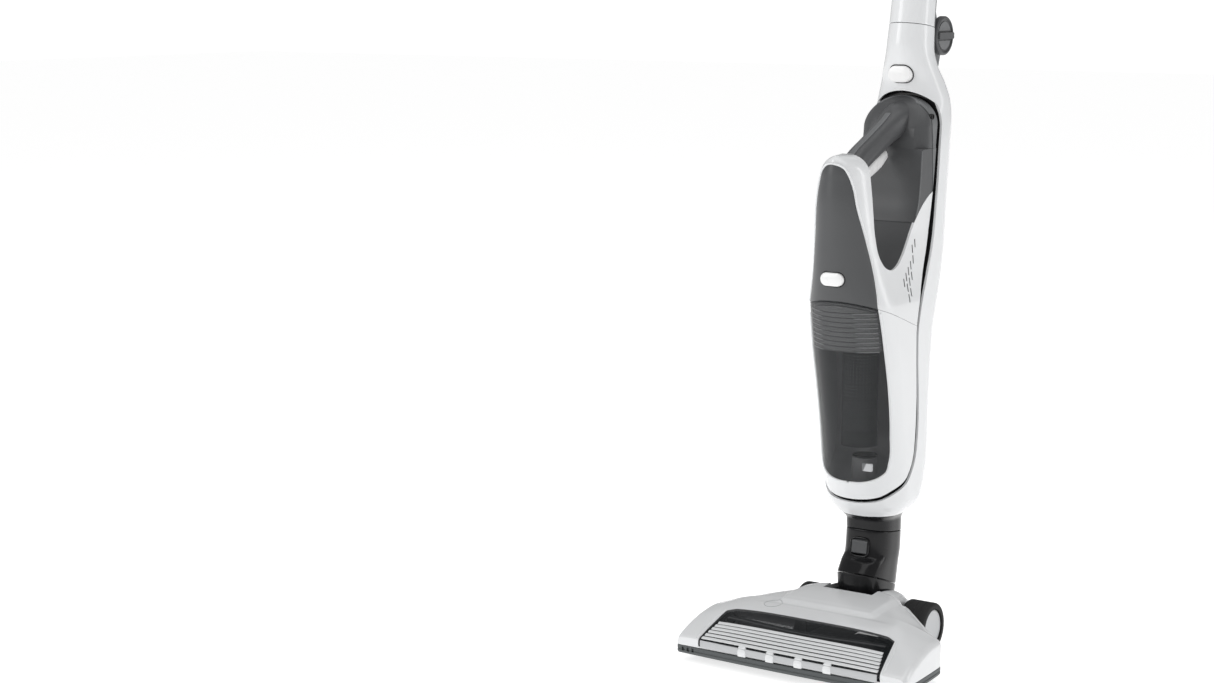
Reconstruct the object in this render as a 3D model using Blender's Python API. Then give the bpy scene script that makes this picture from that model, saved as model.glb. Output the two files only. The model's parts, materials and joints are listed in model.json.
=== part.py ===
"""Cordless stick vacuum: a powered floor head, a tilting and swivelling neck, an upright
frame with a folding handle, and a hand unit with its dust bin that lifts out of the frame.

The machine stands on z = 0 and looks along -Y. X = 0 is its plane of symmetry. Sizes in the
tables are millimetres and are turned into metres where a mesh is built.
"""

from math import atan2, cos, hypot, pi, radians, sin, sqrt

import bmesh
import bpy
from mathutils import Matrix, Vector

MM = 0.001
GAP = 0.35           # clearance between neighbouring pieces
WALL = 2.4           # wall of every moulded shell

# Floor head
HEAD_FRONT = -174.0    # the nose of the head, and the foremost point of the machine
HEAD_HALF = 131.5
HEAD_SPLIT = 17.6    # height of the seam between base and cover
BASE_BOTTOM = 9.0
CHEEK_OUT = 43.0     # the two cheeks that carry the neck
CHEEK_IN = 28.5
WHEEL_R = 26.8
WHEEL_Y = -0.5
WHEEL_OUT = 77.0
WHEEL_IN = 47.0
HUB_R = 20.0
ROLLER_R = 8.0       # small supporting rollers under the base
BRUSH_Y, BRUSH_Z, BRUSH_R = -141.0, 16.6, 15.0
MOTOR_Y, MOTOR_Z = -98.0, 31.0
BRUSH_PULLEY_R, MOTOR_PULLEY_R = 9.0, 5.0
BELT_X = -110.0

# Neck
TILT_Y, TILT_Z = -2.0, 32.0
SWIVEL_Y, SWIVEL_Z = -4.0, 70.5
SWIVEL_SLOPE = -0.36         # rise of the swivel seam towards the back
NECK_TOP = 121.3
DUCT_Y, DUCT_R = 8.0, 12.6
INLET_Y = -14.0       # where the duct enters the bin

# Upright frame and handle
SEAM_LEAN = 0.15             # the tube leans back by this much per unit of height
FOLD_SEAM = 645.0
FOLD_Y, FOLD_Z = 115.5, 634.0
KNOB_R = 20.5
HANDLE_TOP = 1100.0

# Hand unit
SEAM_Z0, SEAM_Y0, SEAM_FALL = 375.0, -89.0, 0.354
FILTER_Y, FILTER_R = -27.0, 19.0
HANDLE_R = 13.5

COLOURS = {
    "white": ((0.80, 0.81, 0.82), 0.22, 0.0),
    "button": ((0.90, 0.90, 0.90), 0.25, 0.0),
    "cover_grey": ((0.085, 0.087, 0.09), 0.38, 0.0),
    "black": ((0.012, 0.012, 0.013), 0.15, 0.0),
    "base_grey": ((0.075, 0.083, 0.085), 0.45, 0.0),
    "mid_grey": ((0.16, 0.165, 0.17), 0.35, 0.0),
    "light_grey": ((0.52, 0.53, 0.54), 0.35, 0.0),
    "smoke": ((0.10, 0.105, 0.11), 0.06, 0.0),
    "rubber": ((0.015, 0.015, 0.015), 0.7, 0.0),
    "steel": ((0.55, 0.55, 0.56), 0.3, 1.0),
    "board": ((0.02, 0.16, 0.07), 0.5, 0.0),
    "filter": ((0.75, 0.73, 0.68), 0.9, 0.0),
    "cells": ((0.05, 0.16, 0.30), 0.4, 0.0),
}


def clear_scene():
    for obj in list(bpy.data.objects):
        bpy.data.objects.remove(obj)


def material(name, finish):
    colour, roughness, metallic = COLOURS[finish]
    made = bpy.data.materials.new(name)
    made.use_nodes = True
    shader = made.node_tree.nodes["Principled BSDF"]
    shader.inputs["Base Color"].default_value = (*colour, 1.0)
    shader.inputs["Roughness"].default_value = roughness
    shader.inputs["Metallic"].default_value = metallic
    return made


# ---------------------------------------------------------------- meshes


def mesh_object(name, points, faces, finish, helper=False):
    """An object whose mesh is given in millimetres; a helper only cuts others."""
    mesh = bpy.data.meshes.new(name)
    mesh.from_pydata([Vector(point) * MM for point in points], [], faces)
    work = bmesh.new()
    work.from_mesh(mesh)
    bmesh.ops.remove_doubles(work, verts=work.verts, dist=1e-6)
    bmesh.ops.recalc_face_normals(work, faces=work.faces)
    bmesh.ops.triangulate(work, faces=work.faces, quad_method="FIXED")
    work.to_mesh(mesh)
    work.free()
    mesh.shade_smooth()
    mesh.set_sharp_from_angle(angle=radians(35))
    obj = bpy.data.objects.new(name, mesh)
    bpy.context.scene.collection.objects.link(obj)
    if helper:
        obj.hide_render = True
        obj.display_type = "WIRE"
    else:
        mesh.materials.append(material(name, finish))
    return obj


def loft(name, rings, finish="white", helper=False):
    """A closed solid through rings of equal length, with a face over each end."""
    count = len(rings[0])
    points = [point for ring in rings for point in ring]
    faces = [list(range(count)), [len(points) - 1 - i for i in range(count)]]
    for level in range(len(rings) - 1):
        low, high = level * count, (level + 1) * count
        for i in range(count):
            after = (i + 1) % count
            faces.append((low + i, low + after, high + after, high + i))
    return mesh_object(name, points, faces, finish, helper)


def prism(name, outline, plane, low, high, finish="white", helper=False):
    """An outline in the plane YZ, XZ or XY, carried from low to high along the third axis."""
    place = {
        "YZ": lambda a, b, c: (c, a, b),
        "XZ": lambda a, b, c: (a, c, b),
        "XY": lambda a, b, c: (a, b, c),
    }[plane]
    rings = [[place(a, b, c) for a, b in outline] for c in (low, high)]
    return loft(name, rings, finish, helper)


def box(name, low, high, finish="white", helper=False):
    outline = [(low[0], low[1]), (high[0], low[1]), (high[0], high[1]), (low[0], high[1])]
    return prism(name, outline, "XY", low[2], high[2], finish, helper)


def turned(name, profile, centre, axis="X", steps=24, finish="white", helper=False):
    """A profile of (place along the axis, radius) turned about the axis. It closes on itself."""
    rings = []
    for i in range(steps):
        turn = 2 * pi * i / steps
        ring = []
        for along, radius in profile:
            across, up = radius * cos(turn), radius * sin(turn)
            local = {
                "X": (along, across, up),
                "Y": (across, along, up),
                "Z": (across, up, along),
            }[axis]
            ring.append(tuple(c + p for c, p in zip(centre, local)))
        rings.append(ring)
    count = len(profile)
    points = [point for ring in rings for point in ring]
    faces = []
    for i in range(steps):
        here, there = i * count, (i + 1) % steps * count
        for j in range(count):
            after = (j + 1) % count
            faces.append((here + j, here + after, there + after, there + j))
    return mesh_object(name, points, faces, finish, helper)


def rod(name, start, end, radius, centre, axis="X", steps=16, finish="white", helper=False):
    """A solid cylinder along an axis, with bevelled rims."""
    rim = min(0.8, radius * 0.2)
    profile = [(start + rim, radius), (end - rim, radius), (end, radius - rim)]
    profile += [(end, 0.0), (start, 0.0), (start, radius - rim)]
    return turned(name, profile, centre, axis, steps, finish, helper)


def pipe(name, start, end, outer, inner, centre, axis="X", steps=24, finish="white", helper=False):
    profile = [(start, outer), (end, outer), (end, inner), (start, inner)]
    return turned(name, profile, centre, axis, steps, finish, helper)


def tube_along(name, path, sections, finish="white", helper=False, steps=20):
    """Ellipses (half width, half height) set square to a path in the plane X = 0."""
    rings = []
    for i, (y, z) in enumerate(path):
        before, after = path[max(i - 1, 0)], path[min(i + 1, len(path) - 1)]
        run, rise = after[0] - before[0], after[1] - before[1]
        size = hypot(run, rise)
        across = (-rise / size, run / size)
        half_width, half_height = sections[i]
        ring = []
        for j in range(steps):
            turn = 2 * pi * j / steps
            up = half_height * sin(turn)
            ring.append((half_width * cos(turn), y + across[0] * up, z + across[1] * up))
        rings.append(ring)
    return loft(name, rings, finish, helper)


def visible(obj, finish):
    """A helper's shape made a piece of the machine, with its own material."""
    obj.hide_render = False
    obj.display_type = "TEXTURED"
    obj.data.materials.append(material(obj.name, finish))
    return obj


def combine(obj, other, operation="DIFFERENCE", solver="EXACT"):
    """A Boolean with a helper object, which stays hidden from the render."""
    step = obj.modifiers.new(other.name, "BOOLEAN")
    step.operation = operation
    step.object = other
    step.solver = solver
    other.hide_render = True
    other.display_type = "WIRE"
    return obj


def carve(obj, *others, solver="EXACT"):
    for other in others:
        combine(obj, other, "DIFFERENCE", solver)
    return obj


def keep(obj, *others, solver="EXACT"):
    for other in others:
        combine(obj, other, "INTERSECT", solver)
    return obj


def join(obj, *others, solver="EXACT"):
    for other in others:
        combine(obj, other, "UNION", solver)
    return obj


def smooth(points, steps=3):
    """More points on a Catmull-Rom curve through the given ones."""
    found = []
    for i in range(len(points) - 1):
        p0, p1 = points[max(i - 1, 0)], points[i]
        p2, p3 = points[i + 1], points[min(i + 2, len(points) - 1)]
        for step in range(steps):
            t = step / steps
            found.append(tuple(
                0.5 * (2 * b + (c - a) * t + (2 * a - 5 * b + 4 * c - d) * t * t
                       + (3 * b - a - 3 * c + d) * t ** 3)
                for a, b, c, d in zip(p0, p1, p2, p3)
            ))
    return [*found, tuple(points[-1])]


def shifted(points, distance):
    """An open curve moved sideways by a distance, to its left where that is positive."""
    moved = []
    for i, (a, b) in enumerate(points):
        before, after = points[max(i - 1, 0)], points[min(i + 1, len(points) - 1)]
        run, rise = after[0] - before[0], after[1] - before[1]
        size = hypot(run, rise)
        moved.append((a - rise / size * distance, b + run / size * distance))
    return moved


def superellipse(angle, power):
    """The unit superellipse's point at an angle."""
    across, along = cos(angle), sin(angle)
    grow = (abs(across) ** power + abs(along) ** power) ** (-1 / power)
    return across * grow, along * grow


def band(half, front, back, z, power=2.6, steps=24, tilt=0.0, mid=None):
    """A closed level of the neck and tube: a superellipse, tilted about its own middle."""
    middle = (front + back) / 2 if mid is None else mid
    ring = []
    for i in range(steps):
        across, along = superellipse(2 * pi * i / steps, power)
        depth = back - middle if along > 0 else middle - front
        y = middle + depth * along
        ring.append((half * across, y, z + tilt * (y - middle)))
    return ring


# ---------------------------------------------------------------- shared outlines

# Hand unit: height, half width of the nose, half width at the back, front, where the nose starts
HAND_LEVELS = [
    (150, 46.0, 47.0, -40.0, 0.0),
    (168, 46.5, 47.0, -45.5, 1.0),
    (186, 46.5, 47.0, -51.0, -5.0),
    (234, 46.0, 47.0, -60.5, -14.0),
    (275, 46.8, 47.2, -68.5, -20.0),
    (318, 47.4, 47.4, -77.5, -29.0),
    (350, 47.0, 47.4, -83.5, -35.0),
    (366, 46.4, 47.2, -87.0, -38.0),
    (382, 42.5, 46.8, -89.5, -43.0),
    (400, 38.5, 46.0, -91.5, -48.0),
    (437, 32.5, 44.5, -94.0, -58.0),
    (477, 28.5, 43.0, -97.0, -62.0),
    (498, 25.5, 42.4, -96.0, -62.0),
    (509, 21.5, 42.0, -94.0, -62.0),
    (515.5, 16.0, 41.6, -92.0, -62.0),
    (519.5, 8.0, 41.2, -89.0, -62.0),
    (521, 40.0, 41.0, 18.0, 50.0),
]
HEAD_CROWN = (543.0, 38.6, 31.0)       # height of the widest level, half width, rise of the crown


def hand_level(z, nose, side, front, start, inset=0.0, back=90.0, steps=12):
    ring = []
    for i in range(steps + 1):
        turn = pi * i / steps
        depth = start - front - inset
        ring.append((-(nose - inset) * cos(turn), start - depth * sin(turn), z))
    ring.append((side - inset, back, z))
    ring.append((-(side - inset), back, z))
    return ring


def hand_solid(name, inset=0.0):
    """The hand unit's whole outside, drawn in by an inset. It runs past the gap at its back."""
    rings = [hand_level(*level, inset=inset) for level in HAND_LEVELS]
    middle, half, rise = HEAD_CROWN
    for part in (0.0, 0.4, 0.65, 0.83, 0.94, 0.99):
        z = middle + (rise - inset) * part
        side = (half - inset) * sqrt(1 - part * part) + inset
        rings.append(hand_level(z, side, side, 28.0 + 14.0 * part, 58.0, inset=inset))
    return loft(name, rings, helper=True)


# Side view (y, z) of the gap between the hand unit and the frame, from the front lip upwards
GAP_LINE = smooth([
    (-60, 161), (-44, 163.5), (-37, 166), (-27, 173), (-10, 184), (3, 200), (8.5, 225), (9, 262),
    (5, 310), (5, 340), (11, 364), (23, 393), (36, 424), (47, 471), (55, 520), (60, 548),
    (62, 576),
], 2)
# Side view of the finger opening, from the column's top down round the bottom to the head
OPENING_LINE = smooth([
    (-61.5, 500), (-62.5, 465), (-61.5, 437), (-57, 417), (-48, 406.5), (-37, 403), (-25, 406),
    (-13, 415), (0, 430), (12, 447),
], 2)
SPINE_LINE = smooth([(12, 447), (20, 464), (24, 488), (27, 520), (34, 546), (47, 566), (62, 577)], 2)
WHITE_TOP = smooth([(12, 447), (27, 463), (41, 473), (75, 483)], 2)

# Front view (x, z) of the opening that the front cover and the bin window fill, right half
FACE_LINE = smooth([
    (0, 513), (8, 511), (13.5, 504), (18, 492), (23, 466), (28.5, 436), (33.5, 406), (38.5, 368),
    (40.5, 330), (41, 273), (40, 232), (38.5, 206), (35, 193), (26, 186), (13, 182.5), (0, 182),
], 2)


def seam_z(y):
    return SEAM_Z0 - SEAM_FALL * (y - SEAM_Y0)


def half_space(name, above, offset):
    """Everything above or below the sloping seam between the hand unit and its bin."""
    front, back = -150.0, 120.0
    limit = 700.0 if above else 100.0
    outline = [(front, seam_z(front) + offset), (back, seam_z(back) + offset)]
    outline += [(back, limit), (front, limit)]
    return prism(name, outline, "YZ", -80, 80, helper=True)


def hand_side(name, offset):
    """Everything in front of the gap line, moved forwards by an offset."""
    line = shifted(GAP_LINE, offset)
    outline = [*line, (line[-1][0], 640), (-150, 640), (-150, line[0][1])]
    return prism(name, outline, "YZ", -80, 80, helper=True)


def above_opening(name, offset, back_line):
    """The finger opening and all that is above it, up to a line at its back."""
    front = shifted(OPENING_LINE, offset)
    outline = [(front[0][0], 660), *front, *back_line[1:], (back_line[-1][0], 660)]
    return prism(name, outline, "YZ", -80, 80, helper=True)


def face_prism(name, inset, back):
    right = [(max(x - inset, 0.0), z) for x, z in FACE_LINE]
    right[0] = (0.0, FACE_LINE[0][1] - inset)
    right[-1] = (0.0, FACE_LINE[-1][1] + inset)
    left = [(-x, z) for x, z in reversed(right[1:-1])]
    return prism(name, [*right, *left], "XZ", -140, back, helper=True)


def stadium(name, centre, half_width, radius, low, high, finish="white", helper=False):
    """A round-ended button shape on its side, carried along Y."""
    outline = []
    for i in range(9):
        turn = -pi / 2 + pi * i / 8
        outline.append((half_width - radius + radius * cos(turn), radius * sin(turn)))
    for i in range(9):
        turn = pi / 2 + pi * i / 8
        outline.append((radius - half_width + radius * cos(turn), radius * sin(turn)))
    outline = [(centre[0] + x, centre[1] + z) for x, z in outline]
    return prism(name, outline, "XZ", low, high, finish, helper)


# ---------------------------------------------------------------- floor head

# Place along Y, half width, height at the edge, height in the middle
COVER_LEVELS = [
    (HEAD_FRONT, 127.0, 22.0, 22.5), (HEAD_FRONT + 0.5, 130.0, 26.0, 27.5),
    (-168.0, HEAD_HALF, 29.5, 31.5),
    (-150.0, 131.0, 37.0, 41.0), (-126.0, 130.0, 43.5, 52.5), (-105.0, 129.0, 46.0, 57.0),
    (-88.0, 127.5, 45.5, 59.5), (-82.5, 121.0, 45.5, 60.5), (-60.0, 96.0, 50.0, 63.0),
    (-40.0, 74.0, 54.0, 64.5), (-31.0, 63.0, 55.5, 65.0), (-29.5, 43.0, 58.0, 65.0),
    (0.0, 43.0, 55.0, 60.0), (17.0, 41.0, 49.0, 53.0), (24.0, 37.0, 42.0, 45.0),
]


def head_bulge(x, y):
    """The front edge is bowed: its ends lie further back than its middle."""
    return 3.0 * (x / HEAD_HALF) ** 2 * max(0.0, min(1.0, (-60.0 - y) / 100.0))


def cover_ring(y, half, edge, middle, bottom, inset=0.0, steps=10):
    half, edge, middle = half - inset, edge - inset, middle - inset
    corner = min(7.0, (edge - bottom) * 0.8)
    top = []
    for i in range(steps + 1):
        x = (half - corner) * (2 * i / steps - 1)
        top.append((x, edge + (middle - edge) * (1 - (x / (half - corner)) ** 4)))
    rounded = [(half - corner * (1 - sin(t)), edge - corner * (1 - cos(t))) for t in (0.5, 1.0)]
    side = [(half, edge - corner), (half, bottom)]
    ring = [*top, *rounded, *side, *[(-x, z) for x, z in reversed([*rounded, *side])]]
    return [(x, y + head_bulge(x, y), z) for x, z in ring]


def cover_solid(name, inset, bottom):
    """The cover's outside, or with an inset the hollow inside it."""
    rings = []
    last = len(COVER_LEVELS) - 1
    for i, (y, half, edge, middle) in enumerate(COVER_LEVELS):
        if i == 0:
            y += inset
        if i == last:
            y -= inset
        if inset and 0 < i <= 2:
            y += inset
        rings.append(cover_ring(y, half, edge, middle, bottom, inset))
    return loft(name, rings, helper=True)


def head_outline(inset):
    """The base's plan, one level under the cover."""
    right = []
    for y, half, _, _ in COVER_LEVELS:
        if y < -31.5 or y > -30.0:
            right.append((half - inset, y))
    right[0] = (right[0][0], right[0][1] + inset)
    right[-1] = (right[-1][0], right[-1][1] - inset)
    front = [(x * right[0][0] / 4, right[0][1]) for x in range(-3, 4)]
    outline = [*front, *right, *[(-x, y) for x, y in reversed(right)]]
    return [(x, y + head_bulge(x, y)) for x, y in outline]


def window_prism(name, inset):
    """Plan of the clear window, whose ends slant."""
    outline = [(-104, -190), (104, -190), (104, -172), (97, -127.5), (88, -123.5), (-88, -123.5)]
    outline += [(-97, -127.5), (-104, -172)]
    scaled = [(x - inset * (1 if x > 0 else -1), y - (inset if y > -130 else 0)) for x, y in outline]
    return prism(name, scaled, "XY", 19.5 + (GAP if inset else 0), 90, helper=True)


def build_floor_head():
    outside = cover_solid("tool_cover_outside", 0.0, HEAD_SPLIT + GAP)
    inside = cover_solid("tool_cover_inside", WALL, 0.0)
    neck_slot = box("tool_neck_slot", (-CHEEK_IN, -47, 5), (CHEEK_IN, 60, 120), helper=True)
    cover = visible(cover_solid("nozzle_cover", 0.0, HEAD_SPLIT + GAP), "white")
    carve(cover, inside, neck_slot, window_prism("tool_window_hole", 0.0))

    window = visible(window_prism("nozzle_window", GAP), "smoke")
    carve(keep(window, outside), inside)

    base = prism("nozzle_base", head_outline(0.0), "XY", BASE_BOTTOM, HEAD_SPLIT, "base_grey")
    mouth = box("tool_mouth", (-121.5, -158, 0), (113, -118, 40), helper=True)
    belt_bay = box("tool_belt_bay", (-117, -119, 14), (-103, -84, 40), helper=True)
    rear_slot = box("tool_rear_slot", (-CHEEK_IN, -32, 0), (CHEEK_IN, 60, 40), helper=True)
    motor_bay = rod("tool_motor_bay", -102, -25, 15.5, (0, MOTOR_Y, MOTOR_Z), helper=True)
    duct_bay = rod("tool_duct_bay", -125, -31, 12.0, (0, 0, 28), "Y", helper=True)
    carve(base, mouth, belt_bay, rear_slot, motor_bay, duct_bay)
    for side in (-1, 1):
        bay = box(f"tool_roller_bay_{side}", (side * 92 - 8, -109, 0), (side * 92 + 8, -87, 40),
                  helper=True)
        carve(base, bay)
        build_support_roller(side)
    cheeks = []
    for side in (-1, 1):
        near, far = sorted((side * (CHEEK_IN + 0.6), side * (CHEEK_OUT - WALL - 2.6)))
        cheek = box(f"tool_cheek_{side}", (near, -24, BASE_BOTTOM + 1), (far, 14, 44), helper=True)
        cheeks.append(cheek)
    join(base, *cheeks)
    build_brush()
    for side in (-1, 1):
        build_wheel(side)
    build_guard()


def build_guard():
    """The ribbed guard just behind the lower half of the window."""
    outline = [(-164.6, 19.8), (-162.6, 19.8), (-162.6, 25.5), (-157.5, 29.2), (-158.5, 30.6), (-164.6, 27)]
    rings = []
    for i in range(11):
        x = 98.0 * (i / 5 - 1)
        rings.append([(x, y + head_bulge(x, y), z) for y, z in outline])
    loft("front_guard", rings, "light_grey")


def build_support_roller(side):
    name = "left" if side < 0 else "right"
    profile = [(-6, 6.8), (-5, ROLLER_R), (5, ROLLER_R), (6, 6.8), (6, 1.6), (-6, 1.6)]
    turned(f"support_roller_{name}", profile, (side * 92, -98, ROLLER_R), "X", 16, "mid_grey")
    rod(f"roller_pin_{name}", -7.6, 7.6, 1.5, (side * 92, -98, ROLLER_R), "X", 8, "steel")


def build_wheel(side):
    name = "left" if side < 0 else "right"
    centre = (0, WHEEL_Y, WHEEL_R)
    places = [side * x for x in (WHEEL_IN, WHEEL_IN + 2, WHEEL_OUT - 2, WHEEL_OUT)]
    tyre = [(places[0], WHEEL_R - 2), (places[1], WHEEL_R), (places[2], WHEEL_R)]
    tyre += [(places[3], WHEEL_R - 2), (places[3], HUB_R + GAP), (places[0], HUB_R + GAP)]
    turned(f"tyre_{name}", tyre, centre, "X", 32, "rubber")
    face, rim = side * (WHEEL_OUT - 1.5), side * (WHEEL_OUT - 3.0)
    hub = [(places[0], HUB_R), (rim, HUB_R), (face, HUB_R - 2), (face, 4.3), (places[0], 4.3)]
    turned(f"hub_{name}", hub, centre, "X", 24, "light_grey")
    near, far = sorted((side * (CHEEK_OUT + GAP), side * (WHEEL_OUT - 2.5)))
    rod(f"wheel_axle_{name}", near, far, 4.0, centre, "X", 16, "steel")


def build_brush():
    """A belt-driven brush: its core, the pulleys, the belt, the end caps and the motor."""
    brush_axis = (0, BRUSH_Y, BRUSH_Z)
    motor_axis = (0, MOTOR_Y, MOTOR_Z)
    blades, turns, levels = 4, 1.0, 15
    rings = []
    for level in range(levels):
        part = level / (levels - 1)
        ring = []
        for i in range(blades * 4):
            radius = (11.0, BRUSH_R, BRUSH_R, 11.0)[i % 4]
            turn = 2 * pi * (i / (blades * 4) + part * turns / 2)
            ring.append((-103 + 210 * part, BRUSH_Y + radius * cos(turn), BRUSH_Z + radius * sin(turn)))
        rings.append(ring)
    loft("brush_roller", rings, "rubber")
    for name, centre, radius in (
        ("brush_pulley", brush_axis, BRUSH_PULLEY_R),
        ("motor_pulley", motor_axis, MOTOR_PULLEY_R),
    ):
        rod(name, BELT_X - 3, BELT_X + 3, radius - 0.6, centre, "X", 20, "mid_grey")
    belt = belt_solid("drive_belt", BELT_X - 2.5, BELT_X + 2.5, 1.4, "rubber")
    carve(belt, belt_solid("tool_belt_inside", BELT_X - 4, BELT_X + 4, 0.0, helper=True))
    for name, near, far in (("left", -120.9, -113.6), ("right", 107.6, 112.4)):
        rod(f"brush_end_cap_{name}", near, far, 12.0, brush_axis, "X", 20, "mid_grey")
    motor = rod("brush_motor", -94, -27, 14.0, motor_axis, "X", 24, "steel")
    join(motor, rod("tool_brush_motor_shaft", -106, -93, 2.2, motor_axis, "X", 12, helper=True))
    pipe("nozzle_duct", -116, -33, 11.0, 9.4, (0, 0, 28), "Y", 20, "mid_grey")


def belt_solid(name, low, high, thickness, finish="rubber", helper=False):
    """The outline round both pulleys, from low to high along X."""
    outline = []
    lean = atan2(MOTOR_Z - BRUSH_Z, MOTOR_Y - BRUSH_Y)
    spread = (BRUSH_PULLEY_R - MOTOR_PULLEY_R) / hypot(MOTOR_Z - BRUSH_Z, MOTOR_Y - BRUSH_Y)
    for centre, radius, start, stop in (
        ((MOTOR_Y, MOTOR_Z), MOTOR_PULLEY_R, -pi / 2 + spread, pi / 2 - spread),
        ((BRUSH_Y, BRUSH_Z), BRUSH_PULLEY_R, pi / 2 - spread, 3 * pi / 2 + spread),
    ):
        for i in range(13):
            turn = lean + start + (stop - start) * i / 12
            reach = radius + thickness
            outline.append((centre[0] + reach * cos(turn), centre[1] + reach * sin(turn)))
    return prism(name, outline, "YZ", low, high, finish, helper)


# ---------------------------------------------------------------- neck


def build_neck():
    """The yoke turns in the head; the swivel turns on the yoke and holds the frame's spigot."""
    seam = SWIVEL_SLOPE
    yoke = loft("neck_yoke", [
        band(23.0, -30.0, 22.0, 34.0, 2.6),
        band(24.0, -38.0, 27.0, 50.0, 2.8, tilt=seam * 0.6, mid=-5.0),
        band(25.0, -40.0, 30.0, SWIVEL_Z - GAP, 3.0, tilt=seam, mid=SWIVEL_Y),
    ], "black")
    drum = rod("tool_yoke_drum", -CHEEK_IN + 0.6, CHEEK_IN - 0.6, 20.0, (0, TILT_Y, TILT_Z), "X", 32,
               helper=True)
    bore = rod("tool_yoke_bore", 20, 120, DUCT_R - 2.0, (0, -4, 0), "Z", helper=True)
    carve(join(yoke, drum), bore)
    swivel = loft("neck_swivel", [
        band(25.0, -40.0, 30.0, SWIVEL_Z + GAP, 3.0, tilt=seam, mid=SWIVEL_Y),
        band(25.0, -31.0, 34.0, 88.0, 3.0, tilt=seam * 0.4, mid=2.0),
        band(25.0, -22.0, 37.0, 100.0, 3.0, mid=8.0),
        band(25.0, -18.5, 38.0, NECK_TOP, 3.0, tilt=-SEAM_LEAN, mid=9.7),
    ], "black")
    socket = rod("tool_swivel_socket", 88, 140, DUCT_R + GAP, (0, DUCT_Y, 0), "Z", helper=True)
    through = rod("tool_swivel_through", 40, 100, DUCT_R - 2.4, (0, 2, 0), "Z", helper=True)
    pocket = box("tool_neck_button_pocket", (-9.4, -40, 98.6), (9.4, -8.0, 116.4), helper=True)
    carve(swivel, socket, through, pocket)
    outline = [(-18.4, 99.0), (-11.0, 99.0), (-11.0, 116.0), (-16.4, 116.0), (-21.6, 114.0), (-23.4, 101.0)]
    prism("neck_release_button", outline, "YZ", -9, 9, "black")


# ---------------------------------------------------------------- upright frame

# Height, half width, front, where the side starts and ends, back, lean of the level
FRAME_LEVELS = [
    (142.5, 33.0, -28.5, 0.0, 8.0, 40.0, 0.0),
    (147, 38.5, -32.5, 0.0, 10.0, 43.5, 0.0),
    (153, 43.5, -37.5, 0.0, 12.0, 46.0, 0.0),
    (161, 46.5, -42.5, 0.0, 15.0, 50.0, 0.0),
    (175, 47.0, -47.0, -2.0, 20.0, 55.5, 0.0),
    (200, 47.0, -54.0, -8.0, 27.0, 59.5, 0.0),
    (262, 47.0, -66.0, -18.0, 29.0, 60.0, 0.0),
    (330, 47.4, -79.0, -30.0, 34.0, 63.0, 0.0),
    (355, 47.4, -60.0, -20.0, 41.0, 68.5, 0.0),
    (390, 46.8, -40.0, -5.0, 52.0, 80.0, 0.0),
    (425, 45.6, -20.0, 12.0, 60.0, 88.5, 0.0),
    (471, 44.0, 0.0, 25.0, 67.0, 95.0, 0.0),
    (520, 42.4, 18.0, 40.0, 75.0, 104.0, 0.0),
    (550, 40.8, 38.0, 70.0, 81.0, 109.0, 0.0),
    (568, 38.4, 52.0, 78.0, 82.0, 108.0, 0.0),
    (585, 33.2, 52.0, 74.0, 81.0, 106.0, -0.05),
    (605, 27.4, 46.0, 70.0, 72.0, 98.0, -0.10),
    (622, 23.8, 44.5, 69.0, 70.0, 95.5, -SEAM_LEAN),
]


def frame_ring(z, half, front, start, stop, back, lean, inset=0.0, steps=10):
    half, front, back = half - inset, front + inset, back - inset
    middle = (start + stop) / 2
    ring = []
    for i in range(steps + 1):
        turn = pi * i / steps
        ring.append((-half * cos(turn), start - (start - front) * sin(turn)))
    for i in range(steps + 1):
        across, along = superellipse(pi * i / steps, 2.3)
        ring.append((half * across, stop + (back - stop) * along))
    return [(x, y, z + lean * (y - middle)) for x, y in ring]


def tube_level(z, half, front_depth, back_depth):
    """A level of the leaning tube above the hood, square to its axis."""
    middle = 72.0 + SEAM_LEAN * (z - FOLD_SEAM)
    return (z, half, middle - front_depth, middle - 0.5, middle + 0.5, middle + back_depth, -SEAM_LEAN)


def frame_solid(name, inset=0.0, top=FOLD_SEAM - GAP, bottom=None):
    levels = [*FRAME_LEVELS, tube_level(top, 22.4, 25.0, 25.5)]
    if bottom is not None:
        levels = [level for level in levels if level[0] > bottom]
    return loft(name, [frame_ring(*level, inset=inset) for level in levels], helper=True)


def bay_solid(name, offset):
    """The room that the hand unit takes out of the frame, with an arched top."""
    line = shifted(GAP_LINE, -offset)
    outline = [*line, (line[-1][0], 620), (-150, 620), (-150, line[0][1])]
    bay = prism(name, outline, "YZ", -80, 80, helper=True)
    middle, half, rise = HEAD_CROWN
    arch = [(60, 100), (60, 505), (half + offset + 1, 541)]
    for i in range(1, 13):
        turn = pi / 2 * i / 12
        arch.append(((half + offset) * cos(turn), middle + (rise + offset) * sin(turn)))
    arch += [(-x, z) for x, z in reversed(arch[:-1])]
    keep(bay, prism(name + "_arch", arch, "XZ", -160, 130, helper=True))
    return bay


def rear_panel(inset):
    """Front view of the panel let into the back of the frame."""
    outline = smooth([(34, 196), (37, 260), (37, 380), (34, 470), (29, 540), (21, 592), (15.5, 622)], 2)
    right = [(x - inset, z) for x, z in outline]
    right[0] = (right[0][0], right[0][1] + inset)
    full = [(0, right[0][1] - 6), (22 - inset, right[0][1] - 4), *right]
    full += [(right[-1][0], 660)]
    left = [(-x, z) for x, z in reversed(full[1:])]
    return full + left


def panel_prism(name, inset):
    """The room of the rear panel, which stays behind the tube's middle."""
    depth = [(40, 150), (40, 556), (78, 574), (82, 700), (200, 700), (200, 150)]
    room = prism(name, rear_panel(inset), "XZ", 30, 210, helper=True)
    return keep(room, prism(name + "_depth", depth, "YZ", -70, 70, helper=True))


def duct_path(name, radius, low=92.0):
    """The air duct: straight up through the spigot, then forwards to the bin's inlet."""
    path = [(DUCT_Y, low), (DUCT_Y, 126), (4, 142), (-4, 157), (INLET_Y, 174), (-25, 192)]
    return tube_along(name, path, [(radius, radius)] * len(path), "mid_grey", True, 16)


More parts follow.
